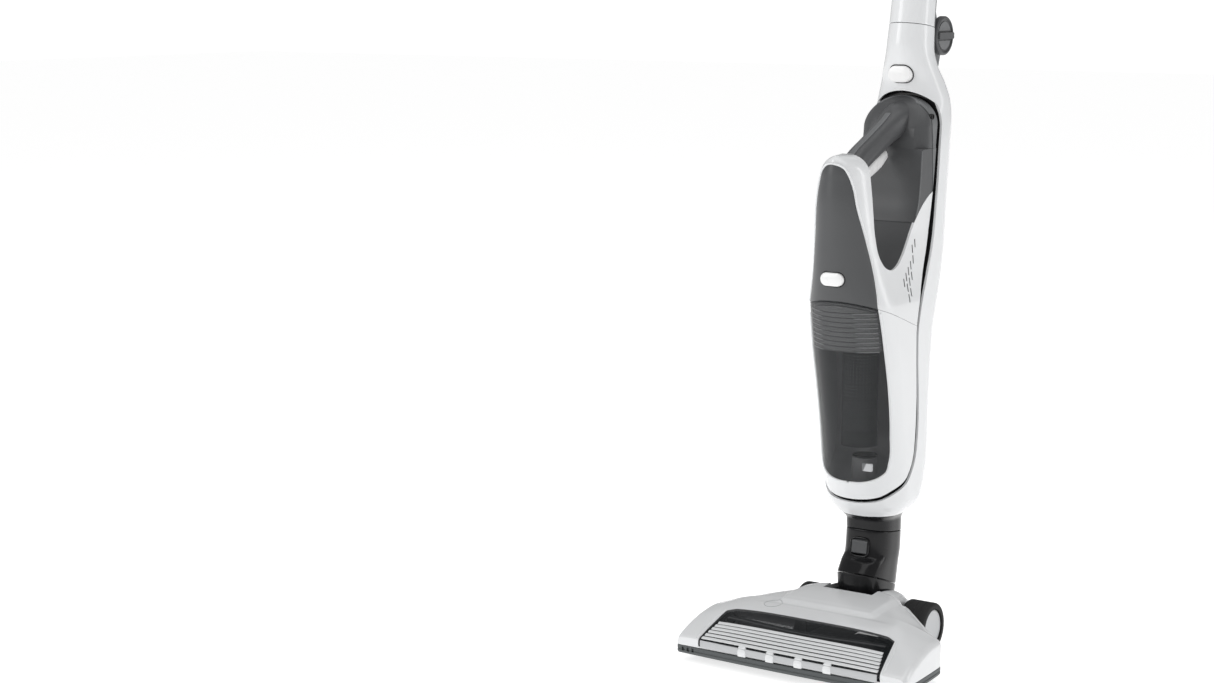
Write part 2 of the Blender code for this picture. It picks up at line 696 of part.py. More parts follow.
def build_frame():
    bay = bay_solid("tool_bay", 3.2)
    frame = visible(frame_solid("frame_shell"), "white")
    hollow = frame_solid("tool_frame_hollow", WALL, FOLD_SEAM + 20, bottom=150)
    carve(frame, hollow, bay, panel_prism("tool_panel_hole", 0.0))
    duct_hole = duct_path("tool_frame_duct_hole", DUCT_R + GAP, 80.0)
    button_hole = stadium("tool_hand_release_hole", (0, 596), 13.6, 9.2, 20, 62, helper=True)
    carve(frame, duct_hole, button_hole)

    cover = visible(frame_solid("frame_rear_cover"), "mid_grey")
    keep(carve(cover, hollow, bay), panel_prism("tool_panel", GAP))

    liner_band = [*shifted(GAP_LINE, -5.2)[4:], *reversed(shifted(GAP_LINE, -7.0)[4:])]
    liner = prism("cradle_liner", liner_band, "YZ", -60, 60, "black")
    hollow_slim = frame_solid("tool_liner_trim", WALL + GAP, FOLD_SEAM - 10, bottom=150)
    keep(liner, hollow_slim)
    carve(liner, duct_hole)

    duct = visible(duct_path("frame_duct", DUCT_R), "mid_grey")
    carve(duct, duct_path("tool_duct_bore", DUCT_R - 2.2, 80.0), hand_side("tool_duct_top", -0.6))

    skirt = loft("frame_collar", [
        band(25.0, -18.5, 38.0, NECK_TOP + GAP, 3.0, tilt=-SEAM_LEAN, mid=9.7),
        band(25.2, -19.0, 38.0, 133.0, 3.0, tilt=-SEAM_LEAN / 2, mid=9.7),
        band(31.0, -26.0, 38.5, 142.5 - GAP, 2.5, mid=6.0),
    ], "base_grey")
    carve(skirt, duct_hole)

    stadium("hand_release_button", (0, 596), 13.0, 8.6, 44.5, 56, "button")


def build_fold_joint():
    """Lugs on the frame, a knuckle on the handle, the pin and the clamping knob."""
    centre = (0, FOLD_Y, FOLD_Z)
    lugs = rod("hinge_bracket", -17.0, 10.2, 17.5, centre, "X", 20, "mid_grey")
    stem = [(94.8, 588), (94.2, 634), (103, 640), (127.5, 624), (121, 603), (111, 580), (108, 572)]
    stem_body = prism("tool_stem", stem, "YZ", -11.0, 8.0, helper=True)
    join(lugs, stem_body, solver="MANIFOLD")
    knuckle_bay = rod("tool_knuckle_bay", -9.0, 2.5, 18.6, centre, "X", 20, helper=True)
    pin_bore = rod("tool_pin_bore", -30, 30, 3.6, centre, "X", 12, helper=True)
    frame_trim = frame_solid("tool_bracket_trim", -GAP)
    swing = box("tool_swing", (-40, 60, 636.5), (40, 114, 700), helper=True)
    arm_room = [(99.5, 626), (116.8, 601), (141, 571), (160, 571), (160, 640), (118, 634)]
    arm_slot = prism("tool_arm_slot", arm_room, "YZ", -9.0, 2.5, helper=True)
    carve(lugs, knuckle_bay, pin_bore, frame_trim, swing, arm_slot, solver="MANIFOLD")
    rod("hinge_pin", -16.0, 10.0, 3.2, centre, "X", 16, "steel")

    knob = turned("fold_knob", [
        (10.6, 0.0), (10.6, 16.0), (11.6, KNOB_R), (16.6, KNOB_R), (17.6, KNOB_R - 1.2), (17.6, 17.5),
        (16.2, 16.6), (16.2, 0.0),
    ], centre, "X", 28, "mid_grey")
    bar = prism("tool_knob_bar", [
        (FOLD_Y - 16.8, FOLD_Z - 3.4), (FOLD_Y + 16.8, FOLD_Z - 3.4),
        (FOLD_Y + 16.8, FOLD_Z + 3.4), (FOLD_Y - 16.8, FOLD_Z + 3.4),
    ], "YZ", 14, 20.0, helper=True)
    join(knob, bar)


def handle_levels():
    """Levels of the upper tube, from the fold seam to the top of the grip."""
    return [tube_level(z, half, depth, depth + 0.5) for z, half, depth in (
        (FOLD_SEAM + GAP, 22.4, 25.0), (700, 21.5, 24.0), (820, 19.5, 21.5), (930, 18.0, 19.5),
    )]


def handle_solid(name, inset=0.0, finish="white"):
    levels = handle_levels()
    if inset:
        levels[0] = tube_level(FOLD_SEAM - 15, 22.4, 25.0, 25.5)
        levels[-1] = tube_level(950, 18.0, 19.5, 20.0)
    rings = [frame_ring(*level, inset=inset) for level in levels]
    return loft(name, rings, finish, helper=bool(inset))


def handle_back(name, offset):
    """Everything behind a plane that runs along the tube."""
    low, high = 560.0, 1150.0
    line = [(81.0 + offset + SEAM_LEAN * (z - FOLD_SEAM), z) for z in (low, high)]
    return prism(name, [*line, (300, high), (300, low)], "YZ", -60, 60, helper=True)


def build_handle():
    inside = handle_solid("tool_handle_inside", WALL)
    knob_room = rod("tool_knob_room", -30, 40, 19.5, (0, FOLD_Y, FOLD_Z), "X", 32, helper=True)
    front = handle_solid("handle_front_shell")
    carve(front, inside, handle_back("tool_handle_back", -0.2))
    back = handle_solid("handle_rear_shell", finish="mid_grey")
    carve(keep(back, handle_back("tool_handle_front", 0.2)), inside, knob_room)
    knuckle = rod("handle_knuckle", -8.6, 2.1, 17.5, (0, FOLD_Y, FOLD_Z), "X", 20, "mid_grey")
    arm = [(91, 650), (98.5, 700), (106, 700), (121, 666), (131, 640), (116, 628), (101, 640), (86, 646)]
    arm_body = prism("tool_knuckle_arm", arm, "YZ", -8.6, 2.1, helper=True)
    bore = rod("tool_knuckle_bore", -30, 30, 3.6, (0, FOLD_Y, FOLD_Z), "X", 12, helper=True)
    below = tube_trim("tool_knuckle_trim")
    join(knuckle, arm_body, solver="MANIFOLD")
    carve(knuckle, bore, below, frame_solid("tool_knuckle_frame_trim", -GAP), solver="MANIFOLD")

    top = HANDLE_TOP
    grip_levels = [tube_level(z, half, depth, back_depth) for z, half, depth, back_depth in (
        (930 + 2 * GAP, 18.4, 19.9, 20.4), (965, 18.8, 20.0, 22.5), (1010, 18.6, 20.0, 26.5),
        (1055, 18.0, 19.6, 31.0), (top - 14, 17.0, 19.0, 35.7),
    )]
    grip = loft("handle_grip", [frame_ring(*level) for level in grip_levels], "cover_grey")
    hollow_levels = [tube_level(905, 18.4, 19.9, 20.4), *grip_levels[:-1]]
    hollow_levels.append(tube_level(top - 18, 17.0, 19.0, 35.7))
    carve(grip, loft("tool_grip_hollow", [frame_ring(*level, inset=3.0) for level in hollow_levels],
                     helper=True))
    cap_levels = [tube_level(z, half, depth, back_depth) for z, half, depth, back_depth in (
        (top - 14 + 2 * GAP, 17.0, 19.0, 35.7), (top - 6, 15.0, 17.0, 34.0),
        (top - 1.8, 10.0, 12.0, 28.0),
    )]
    loft("handle_end_cap", [frame_ring(*level) for level in cap_levels], "mid_grey")


def tube_trim(name):
    """The handle's outside, a little larger, which pieces behind the tube keep clear of."""
    levels = [tube_level(FOLD_SEAM - 30, 22.4, 25.0, 25.5), *handle_levels()]
    return loft(name, [frame_ring(*level, inset=-GAP) for level in levels], helper=True)


# ---------------------------------------------------------------- hand unit


def build_hand_unit():
    inside = hand_solid("tool_hand_inside", WALL)
    inside_slim = hand_solid("tool_hand_inside_slim", WALL + GAP)
    front_of_gap = hand_side("tool_front_of_gap", 0.0)
    above_seam = half_space("tool_above_seam", True, 0.2)
    opening = above_opening("tool_opening_white", 0.0, WHITE_TOP)
    face_hole = face_prism("tool_face_hole", 0.0, -35)

    shell = visible(hand_solid("hand_shell"), "white")
    keep(shell, front_of_gap, above_seam)
    carve(shell, inside, opening, face_hole)

    cover = visible(hand_solid("front_cover"), "cover_grey")
    keep(cover, above_seam, face_prism("tool_cover_face", GAP, -40))
    carve(cover, inside, stadium("tool_bin_release_hole", (0, 397), 13.2, 7.4, -120, -60, helper=True))

    stadium("bin_release_button", (0, 397), 12.6, 6.8, -93.5, -81, "button")
    build_hand_housing(inside_slim, front_of_gap)
    build_hand_inside()


def build_hand_housing(inside_slim, front_of_gap):
    """The dark spine with the carrying handle and the floor of the finger opening."""
    spine = visible(hand_solid("hand_housing"), "cover_grey")
    back = shifted(WHITE_TOP, GAP)
    region = [*back[1:], (70, 600), *reversed(SPINE_LINE)]
    spine_room = prism("tool_spine_region", region, "YZ", -80, 80, helper=True)
    keep(spine, spine_room, front_of_gap)
    floor_line = [*OPENING_LINE, *SPINE_LINE[1:4]]
    floor_band = [*shifted(floor_line, -0.8), *reversed(shifted(floor_line, -3.4))]
    floor = prism("tool_opening_floor", floor_band, "YZ", -80, 80, helper=True)
    keep(floor, inside_slim)
    grip = tube_along("tool_carry_handle", [(-64, 499.5), (-40, 513), (-10, 526), (20, 539), (40, 549)],
                      [(13, 12), (13.5, HANDLE_R), (14, HANDLE_R), (15, 14), (19, 16)], helper=True)
    pocket = prism("tool_battery_pocket", battery_room(0.0), "YZ", -37, 37, helper=True)
    keep(pocket, hand_solid("tool_pocket_trim", WALL), solver="MANIFOLD")
    trigger_slot = prism("tool_trigger_slot", [
        (-46, 480), (-42, 503), (-12, 515), (13, 525.5), (21, 521), (21, 500),
    ], "YZ", -6.4, 6.4, helper=True)
    socket_hole = rod("tool_socket_hole", 33, 60, 3.4, (0, 50, 553), "X", 16, helper=True)
    join(spine, floor, grip, solver="MANIFOLD")
    carve(spine, pocket, trigger_slot, socket_hole, solver="MANIFOLD")

    prism("trigger", [
        (-52, 478), (-49.5, 477.5), (-38, 492), (-18, 500), (8, 508.5), (16.5, 512), (18.5, 516.5),
        (15, 519.5), (-12, 510.5), (-34, 501.5), (-44, 493),
    ], "YZ", -6.0, 6.0, "button")
    rod("charging_socket", 34, 38.2, 3.0, (0, 50, 553), "X", 16, "black")


def battery_room(inset):
    """Side view of the battery's pocket, which follows the front of the spine."""
    return [(30.5 + inset, 484 + inset), (31.5 + inset, 519), (35 + inset, 538 - inset),
            (75, 538 - inset), (75, 484 + inset)]


def build_hand_inside():
    battery = box("battery_pack", (-35.5, 37.5, 486), (35.5, 42.5, 536), "cells")
    for i in range(4):
        x = -26.4 + 17.6 * i
        join(battery, rod(f"tool_cell_{i}", 486, 536, 6.6, (x, 40, 0), "Z", 12, helper=True),
             solver="MANIFOLD")
    battery_trim = prism("tool_battery_trim", battery_room(0.6), "YZ", -60, 60, helper=True)
    keep(battery, battery_trim, hand_solid("tool_battery_side_trim", WALL + 0.6), solver="MANIFOLD")
    line = [point for point in GAP_LINE if 440 < point[1] < 560]
    plate = [*shifted(line, 0.6), *reversed(shifted(line, 2.4))]
    cover = prism("battery_cover", plate, "YZ", -36.6, 36.6, "cover_grey")
    keep(cover, box("tool_battery_cover_room", (-36.6, 0, 484.4), (36.6, 100, 537.6), helper=True),
         hand_solid("tool_battery_cover_trim", WALL + GAP), solver="MANIFOLD")
    box("circuit_board", (-17, -71.5, 430), (17, -69.5, 492), "board")
    rod("suction_motor", 374, 396, 19.5, (0, -31, 0), "Z", 24, "steel")
    rod("impeller", 366.5, 373, 17.5, (0, -31, 0), "Z", 20, "mid_grey")
    plate_line = [(y, seam_z(y)) for y in (-74.0, 2.0)]
    outline = [*[(y, z + 1.0) for y, z in plate_line], *[(y, z + 3.0) for y, z in reversed(plate_line)]]
    plate = prism("intake_plate", outline, "YZ", -60, 60, "mid_grey")
    keep(plate, hand_solid("tool_plate_trim", WALL + GAP))
    carve(plate, rod("tool_intake", 340, 380, 12, (0, -31, 0), "Z", 20, helper=True))


def build_bin():
    outside_trim = half_space("tool_below_seam", False, -0.2)
    front_of_gap = hand_side("tool_bin_front_of_gap", 0.0)
    cavity = hand_solid("tool_bin_inside", WALL)
    keep(cavity, hand_side("tool_bin_cavity_side", WALL))
    face_hole = face_prism("tool_bin_face_hole", 0.0, -30)
    shell = visible(hand_solid("bin_shell"), "white")
    keep(shell, outside_trim, front_of_gap)
    carve(shell, cavity, face_hole)
    duct = pipe("tool_inlet_wall", 176, 203, 13.5, 11.5, (0, INLET_Y, 0), "Z", 24, helper=True)
    keep(duct, hand_side("tool_inlet_side", 0.4))
    carve(join(shell, duct), rod("tool_inlet_hole", 150, 230, 10.6, (0, INLET_Y, 0), "Z", 24, helper=True))

    window = visible(hand_solid("bin_window"), "smoke")
    keep(window, outside_trim, face_prism("tool_window_face", GAP, -33))
    carve(window, hand_solid("tool_window_inside", WALL))

    lid_line = [(y, seam_z(y)) for y in (-84.0, 1.5)]
    outline = [*[(y, z - 3.2) for y, z in lid_line], *[(y, z - 1.0) for y, z in reversed(lid_line)]]
    lid = prism("filter_frame", outline, "YZ", -60, 60, "light_grey")
    keep(lid, hand_solid("tool_lid_trim", WALL + GAP + 0.3))
    carve(lid, rod("tool_lid_hole", 320, 380, FILTER_R - 5, (0, FILTER_Y, 0), "Z", 24, helper=True))
    turned("filter_cage", [
        (218, FILTER_R), (330, FILTER_R), (330, FILTER_R - 1.6), (220, FILTER_R - 1.6), (220, 0), (218, 0),
    ], (0, FILTER_Y, 0), "Z", 32, "mid_grey")
    pleats = []
    for z in (221.0, 328.0):
        ring = []
        for i in range(48):
            radius = (FILTER_R - 2.4, FILTER_R - 5.4)[i % 2]
            turn = 2 * pi * i / 48
            ring.append((radius * cos(turn), FILTER_Y + radius * sin(turn), z))
        pleats.append(ring)
    element = loft("pleated_filter", pleats, "filter")
    carve(element, rod("tool_filter_core", 200, 350, 9.0, (0, FILTER_Y, 0), "Z", 16, helper=True))
    rod("inlet_flap", 203.8, 205.4, 13.0, (0, INLET_Y, 0), "Z", 24, "rubber")
    box("bin_catch", (-5.5, -79.5, 353), (5.5, -77.5, 359), "light_grey")


def build_axes():
    """Empties that mark each joint's axis; every moving piece hangs from one."""
    places = {
        "axis_brush": ((0, BRUSH_Y, BRUSH_Z), ["brush_roller", "brush_pulley"]),
        "axis_motor_pulley": ((0, MOTOR_Y, MOTOR_Z), ["motor_pulley"]),
        "axis_wheel_left": ((0, WHEEL_Y, WHEEL_R), ["tyre_left", "hub_left"]),
        "axis_wheel_right": ((0, WHEEL_Y, WHEEL_R), ["tyre_right", "hub_right"]),
        "axis_roller_left": ((-92, -98, ROLLER_R), ["support_roller_left"]),
        "axis_roller_right": ((92, -98, ROLLER_R), ["support_roller_right"]),
        "axis_tilt": ((0, TILT_Y, TILT_Z), ["neck_yoke"]),
        "axis_swivel": ((0, SWIVEL_Y, SWIVEL_Z), ["neck_swivel"]),
        "axis_neck_button": ((0, -20, 107.5), ["neck_release_button"]),
        "axis_frame": ((0, DUCT_Y, NECK_TOP), [
            "frame_shell", "frame_rear_cover", "cradle_liner", "frame_duct", "frame_collar",
            "hinge_bracket", "hinge_pin"]),
        "axis_hand_button": ((0, 50, 596), ["hand_release_button"]),
        "axis_fold": ((0, FOLD_Y, FOLD_Z), [
            "handle_front_shell", "handle_rear_shell", "handle_knuckle", "handle_grip", "handle_end_cap"]),
        "axis_knob": ((0, FOLD_Y, FOLD_Z), ["fold_knob"]),
        "axis_hand_unit": ((0, -31, 380), [
            "hand_shell", "front_cover", "hand_housing", "charging_socket", "battery_pack",
            "battery_cover", "circuit_board", "suction_motor", "intake_plate"]),
        "axis_impeller": ((0, -31, 370), ["impeller"]),
        "axis_bin_button": ((0, -88, 397), ["bin_release_button"]),
        "axis_trigger": ((0, -50, 479), ["trigger"]),
        "axis_bin": ((0, FILTER_Y, 360), ["bin_shell", "bin_window", "filter_frame", "bin_catch"]),
        "axis_filter": ((0, FILTER_Y, 280), ["filter_cage", "pleated_filter"]),
        "axis_flap": ((0, INLET_Y + 13.0, 203.8), ["inlet_flap"]),
    }
    for name, (place, nodes) in places.items():
        axis = bpy.data.objects.new(name, None)
        axis.empty_display_size = 0.02
        axis.location = Vector(place) * MM
        bpy.context.scene.collection.objects.link(axis)
        for node in nodes:
            obj = bpy.data.objects[node]
            obj.parent = axis
            obj.matrix_parent_inverse = Matrix.Translation(-axis.location)


def main():
    clear_scene()
    build_floor_head()
    build_neck()
    build_frame()
    build_fold_joint()
    build_handle()
    build_hand_unit()
    build_bin()
    build_axes()


main()
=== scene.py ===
"""Cordless stick vacuum: the surfaces and finishes that are built round its fixed frame.

The machine stands on z = 0 and looks along -Y; X = 0 is its plane of symmetry. Shapes are
worked out in millimetres and turned into metres where a mesh is filled.
"""

import json
from math import pi, radians

import bmesh
import bpy
import numpy as np
from bpy.props import FloatProperty, FloatVectorProperty, IntProperty, PointerProperty
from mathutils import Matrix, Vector

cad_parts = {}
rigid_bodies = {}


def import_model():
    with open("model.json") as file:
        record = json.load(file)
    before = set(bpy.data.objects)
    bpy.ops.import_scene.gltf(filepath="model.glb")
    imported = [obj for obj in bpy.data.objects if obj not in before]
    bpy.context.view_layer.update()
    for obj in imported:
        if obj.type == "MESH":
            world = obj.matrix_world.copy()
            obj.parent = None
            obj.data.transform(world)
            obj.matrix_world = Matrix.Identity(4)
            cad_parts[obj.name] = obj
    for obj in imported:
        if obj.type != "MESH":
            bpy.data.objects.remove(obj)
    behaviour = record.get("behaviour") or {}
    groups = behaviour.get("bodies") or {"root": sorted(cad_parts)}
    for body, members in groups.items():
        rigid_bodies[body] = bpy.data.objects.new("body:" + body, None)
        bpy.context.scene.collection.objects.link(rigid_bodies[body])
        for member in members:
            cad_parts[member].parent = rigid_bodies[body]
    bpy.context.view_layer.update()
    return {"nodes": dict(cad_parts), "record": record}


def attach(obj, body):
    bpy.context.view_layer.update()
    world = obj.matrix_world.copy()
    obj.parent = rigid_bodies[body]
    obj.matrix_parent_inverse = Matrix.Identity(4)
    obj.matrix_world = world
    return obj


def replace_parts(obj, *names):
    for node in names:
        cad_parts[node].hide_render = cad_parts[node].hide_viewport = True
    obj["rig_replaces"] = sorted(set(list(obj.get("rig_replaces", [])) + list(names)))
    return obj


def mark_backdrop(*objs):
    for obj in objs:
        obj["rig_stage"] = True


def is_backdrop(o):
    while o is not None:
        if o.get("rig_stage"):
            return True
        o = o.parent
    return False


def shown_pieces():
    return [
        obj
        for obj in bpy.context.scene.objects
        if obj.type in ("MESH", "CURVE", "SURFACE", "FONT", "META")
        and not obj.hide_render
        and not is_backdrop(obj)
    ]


bl_info = {
    "name": "Cordless stick vacuum",
    "version": (1, 0, 0),
    "blender": (4, 5, 0),
    "location": "View3D > Sidebar > Stick vacuum",
    "description": "Builds the visible shells, wheels, bin and finishes of a cordless stick vacuum",
    "category": "Object",
}

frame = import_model()

MM = 0.001
GAP = 0.35              # clearance at every seam
WALL = 2.4              # wall of the moulded shells
SMOOTH_ANGLE = radians(32)


# ---------------------------------------------------------------- curves and grids


def through(table, at, overshoot=True):
    """Rows of a table read at any value of its first column.

    Each stretch is the cubic with the rows' values and slopes at its ends. A row's slope is the
    mean of the two secants beside it, each weighted by the other's length. Where overshoot is
    off, the slope is their harmonic mean, or 0 where they differ in sign.
    """
    table = np.asarray(table, float)
    at = np.atleast_1d(np.asarray(at, float))
    key, value = table[:, 0], table[:, 1:]
    step = np.diff(key)[:, None]
    secant = np.diff(value, axis=0) / step
    slope = np.empty_like(value)
    slope[0], slope[-1] = secant[0], secant[-1]
    before, after = secant[:-1], secant[1:]
    if overshoot:
        slope[1:-1] = (before * step[1:] + after * step[:-1]) / (step[1:] + step[:-1])
    else:
        total = np.where(before * after > 0, before + after, 1.0)
        slope[1:-1] = np.where(before * after > 0, 2 * before * after / total, 0.0)
    i = np.clip(np.searchsorted(key, at, side="right") - 1, 0, len(key) - 2)
    t = np.clip((at - key[i])[:, None] / step[i], 0.0, 1.0)
    return (
        (2 * t**3 - 3 * t**2 + 1) * value[i] + (t**3 - 2 * t**2 + t) * step[i] * slope[i]
        + (3 * t**2 - 2 * t**3) * value[i + 1] + (t**3 - t**2) * step[i] * slope[i + 1]
    )


def curve(points, count):
    """A smooth line through points, at even steps: the cubic of through() over the chord's length."""
    points = np.asarray(points, float)
    chord = np.concatenate([[0], np.cumsum(np.linalg.norm(np.diff(points, axis=0), axis=1))])
    return through(np.column_stack([chord, points]), np.linspace(0, chord[-1], count))


def shifted(line, distance):
    """A plane line moved to its left by a distance, along its normals (-dy, dx)."""
    run = np.gradient(line, axis=0)
    run /= np.linalg.norm(run, axis=1)[:, None]
    return line + distance * np.column_stack([-run[:, 1], run[:, 0]])


def smoothstep(low_end, high_end, x):
    """0 below one value, 1 above the other, and 3t^2 - 2t^3 between them."""
    t = np.clip((x - low_end) / (high_end - low_end), 0, 1)
    return t * t * (3 - 2 * t)


def superellipse(angle, power):
    """The point (cos a, sin a) / (|cos a|^p + |sin a|^p)^(1/p)."""
    c, s = np.cos(angle), np.sin(angle)
    grow = (np.abs(c) ** power + np.abs(s) ** power) ** (-1 / power)
    return c * grow, s * grow


def grid_faces(rows, columns, close_rows=False, close_columns=True):
    """Quads over a grid of points stored row by row."""
    i = np.arange(rows if close_rows else rows - 1)[:, None]
    j = np.arange(columns if close_columns else columns - 1)[None, :]
    after_i, after_j = (i + 1) % rows, (j + 1) % columns
    quads = [i * columns + j, i * columns + after_j, after_i * columns + after_j, after_i * columns + j]
    return np.stack([q.ravel() for q in np.broadcast_arrays(*quads)], axis=1)


# ---------------------------------------------------------------- solids


def loose(name, mesh):
    """An object for a mesh that is still being shaped: clear_forms() removes those left over."""
    made = bpy.data.objects.new(name, mesh)
    bpy.context.scene.collection.objects.link(made)
    made["form"] = True
    return made


def form(name, points, faces):
    """A closed mesh in metres with its doubles merged and its normals outwards."""
    mesh = bpy.data.meshes.new(name)
    mesh.from_pydata((np.asarray(points, float).reshape(-1, 3) * MM).tolist(), [], list(faces))
    work = bmesh.new()
    work.from_mesh(mesh)
    bmesh.ops.remove_doubles(work, verts=work.verts, dist=1e-6)
    bmesh.ops.recalc_face_normals(work, faces=work.faces)
    work.to_mesh(mesh)
    work.free()
    return loose(name, mesh)


def stacked(name, rings):
    """A solid through rings of equal length, an array (rings, points, 3), with both ends closed."""
    rows, columns = rings.shape[:2]
    ends = [list(range(columns)), list(range((rows - 1) * columns, rows * columns))]
    return form(name, rings, [*grid_faces(rows, columns).tolist(), *ends])


def extruded(name, outline, plane, start, end):
    """An outline in the plane YZ, XZ or XY, carried along the third axis."""
    outline = np.asarray(outline, float)
    order = {"YZ": (2, 0, 1), "XZ": (0, 2, 1), "XY": (0, 1, 2)}[plane]
    rings = []
    for along in (start, end):
        flat = np.column_stack([outline, np.full(len(outline), float(along))])
        rings.append(flat[:, order])
    return stacked(name, np.stack(rings))


def turned(name, profile, centre, axis="X", steps=96):
    """A closed profile of (along, radius) turned about an axis: (along, r cos a, r sin a)."""
    profile = np.asarray(profile, float)
    angle = np.arange(steps) * 2 * pi / steps
    along = np.broadcast_to(profile[:, 0], (steps, len(profile)))
    across = np.cos(angle)[:, None] * profile[:, 1]
    up = np.sin(angle)[:, None] * profile[:, 1]
    parts = {"X": (along, across, up), "Y": (across, along, up), "Z": (across, up, along)}[axis]
    points = np.stack(parts, axis=2) + np.asarray(centre, float)
    return form(name, points, grid_faces(steps, len(profile), close_rows=True).tolist())


def rounded(profile, radius, steps=4):
    """A closed profile with each corner rounded: a parabola between points one radius from it."""
    profile = np.asarray(profile, float)
    found = []
    for i, corner in enumerate(profile):
        before, after = profile[i - 1] - corner, profile[(i + 1) % len(profile)] - corner
        reach = min(radius, 0.45 * np.linalg.norm(before), 0.45 * np.linalg.norm(after))
        if corner[1] <= 1e-6:
            found.append(corner)
            continue
        a = corner + before / np.linalg.norm(before) * reach
        b = corner + after / np.linalg.norm(after) * reach
        for t in np.linspace(0, 1, steps):
            found.append((1 - t) ** 2 * a + 2 * t * (1 - t) * corner + t * t * b)
    return np.array(found)


def swept(name, path, sections, across=(1.0, 0.0, 0.0), steps=24, closed=False, power=2.0):
    """Superellipses (half width, half height) carried square to a path.

    The width lies along `across`, as far as the path leaves room for it, and the height along
    the cross product of the path's direction and the width.
    """
    path = np.asarray(path, float)
    sections = np.broadcast_to(np.asarray(sections, float), (len(path), 2))
    if closed:
        run = np.roll(path, -1, axis=0) - np.roll(path, 1, axis=0)
    else:
        run = np.gradient(path, axis=0)
    run /= np.linalg.norm(run, axis=1)[:, None]
    wide = np.asarray(across, float) - (run @ np.asarray(across, float))[:, None] * run
    wide /= np.linalg.norm(wide, axis=1)[:, None]
    tall = np.cross(run, wide)
    c, s = superellipse(np.arange(steps) * 2 * pi / steps, power)
    rings = (path[:, None] + (sections[:, :1] * c)[..., None] * wide[:, None]
             + (sections[:, 1:] * s)[..., None] * tall[:, None])
    if closed:
        return form(name, rings, grid_faces(len(path), steps, close_rows=True).tolist())
    return stacked(name, rings)


def shape(base, *steps):
    """Booleans on a form, each step an operation and the form it takes, then applied."""
    for operation, other in steps:
        step = base.modifiers.new(operation, "BOOLEAN")
        step.operation = operation
        step.object = other
        step.solver = "MANIFOLD"
    ready = base.evaluated_get(bpy.context.evaluated_depsgraph_get())
    mesh = bpy.data.meshes.new_from_object(ready)
    base.modifiers.clear()
    base.data = mesh
    if not mesh.polygons:
        raise RuntimeError(f"{base.name}: nothing is left of it")
    return base


def cut(*others):
    return [("DIFFERENCE", other) for other in others]


def kept(*others):
    return [("INTERSECT", other) for other in others]


def added(*others):
    return [("UNION", other) for other in others]


def piece(obj, name, body, slot, replaces=(), finish=None):
    """Finishes a form as a visible piece: its shading, body and the nodes it stands for.

    Its finish is its slot's, unless another is named.
    """
    obj.name = name
    obj.data.name = name
    del obj["form"]
    obj.data.shade_smooth()
    obj.data.set_sharp_from_angle(angle=SMOOTH_ANGLE)
    obj.data.materials.clear()
    obj.data.materials.append(FINISHES[finish or slot])
    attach(obj, body)
    if replaces:
        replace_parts(obj, *replaces)
    return obj


def clear_forms():
    for obj in [o for o in bpy.data.objects if o.get("form")]:
        bpy.data.objects.remove(obj)


# ---------------------------------------------------------------- finishes


class Wire:
    """A shader output that adds Math nodes where it is used in an expression."""

    def __init__(self, paint, output):
        self.paint, self.output = paint, output

    def math(self, operation, first, second=None):
        values = {0: first} if second is None else {0: first, 1: second}
        return self.paint.node("ShaderNodeMath", {"operation": operation}, values)

    def __add__(self, other):
        return self.math("ADD", self, other)

    def __sub__(self, other):
        return self.math("SUBTRACT", self, other)

    def __rsub__(self, other):
        return self.math("SUBTRACT", other, self)

    def __mul__(self, other):
        return self.math("MULTIPLY", self, other)

    def __pow__(self, other):
        return self.math("POWER", self, other)

    def above(self, other):
        return self.math("GREATER_THAN", self, other)

    __radd__, __rmul__ = __add__, __mul__


class Paint:
    """A Principled material and the nodes that feed it."""

    def __init__(self, name, colour, roughness, **fixed):
        self.material = bpy.data.materials.new(name)
        self.material.use_nodes = True
        self.tree = self.material.node_tree
        self.shader = self.tree.nodes["Principled BSDF"]
        self.shader.inputs["Base Color"].default_value = (*colour, 1.0)
        self.shader.inputs["Roughness"].default_value = roughness
        for socket, value in fixed.items():
            self.shader.inputs[socket.replace("_", " ")].default_value = value
        self.place = self.node("ShaderNodeTexCoord", {}, {}, "Object")

    def node(self, kind, settings, values, out=0):
        """A node of any type: its settings first, then its sockets, as values or links."""
        node = self.tree.nodes.new(kind)
        for key, value in settings.items():
            setattr(node, key, value)
        for key, value in values.items():
            if isinstance(value, Wire):
                self.tree.links.new(value.output, node.inputs[key])
            else:
                node.inputs[key].default_value = value
        return Wire(self, node.outputs[out])

    def stretched(self, scale, turn=(0.0, 0.0, 0.0)):
        return self.node("ShaderNodeMapping", {}, {"Vector": self.place, "Scale": scale, "Rotation": turn})

    def noise(self, size_mm, detail=2.0, place=None):
        """Noise whose features are about size_mm across."""
        values = {"Vector": place or self.place, "Scale": 1 / (size_mm * MM), "Detail": detail}
        return self.node("ShaderNodeTexNoise", {}, values)

    def cells(self, size_mm, place=None):
        values = {"Vector": place or self.place, "Scale": 1 / (size_mm * MM)}
        return self.node("ShaderNodeTexVoronoi", {}, values)

    def axis(self, name, place=None):
        return self.node("ShaderNodeSeparateXYZ", {}, {0: place or self.place}, name)

    def mix(self, factor, first, second):
        """A colour between two, as a Mix node makes it."""
        mixed = self.tree.nodes.new("ShaderNodeMix")
        mixed.data_type = "RGBA"
        for key, value in ((0, factor), (6, first), (7, second)):
            if isinstance(value, Wire):
                self.tree.links.new(value.output, mixed.inputs[key])
            else:
                mixed.inputs[key].default_value = (*value, 1.0) if key else value
        return Wire(self, mixed.outputs[2])

    def feed(self, socket, wire):
        self.tree.links.new(wire.output, self.shader.inputs[socket])
        return self

    def relief(self, height, depth_mm):
        """A bump of this depth where height goes from 0 to 1."""
        bumped = self.node("ShaderNodeBump", {}, {"Height": height, "Distance": depth_mm * MM})
        return self.feed("Normal", bumped)


def lighter(colour, share):
    return tuple(min(1.0, c * (1 + share)) for c in colour)


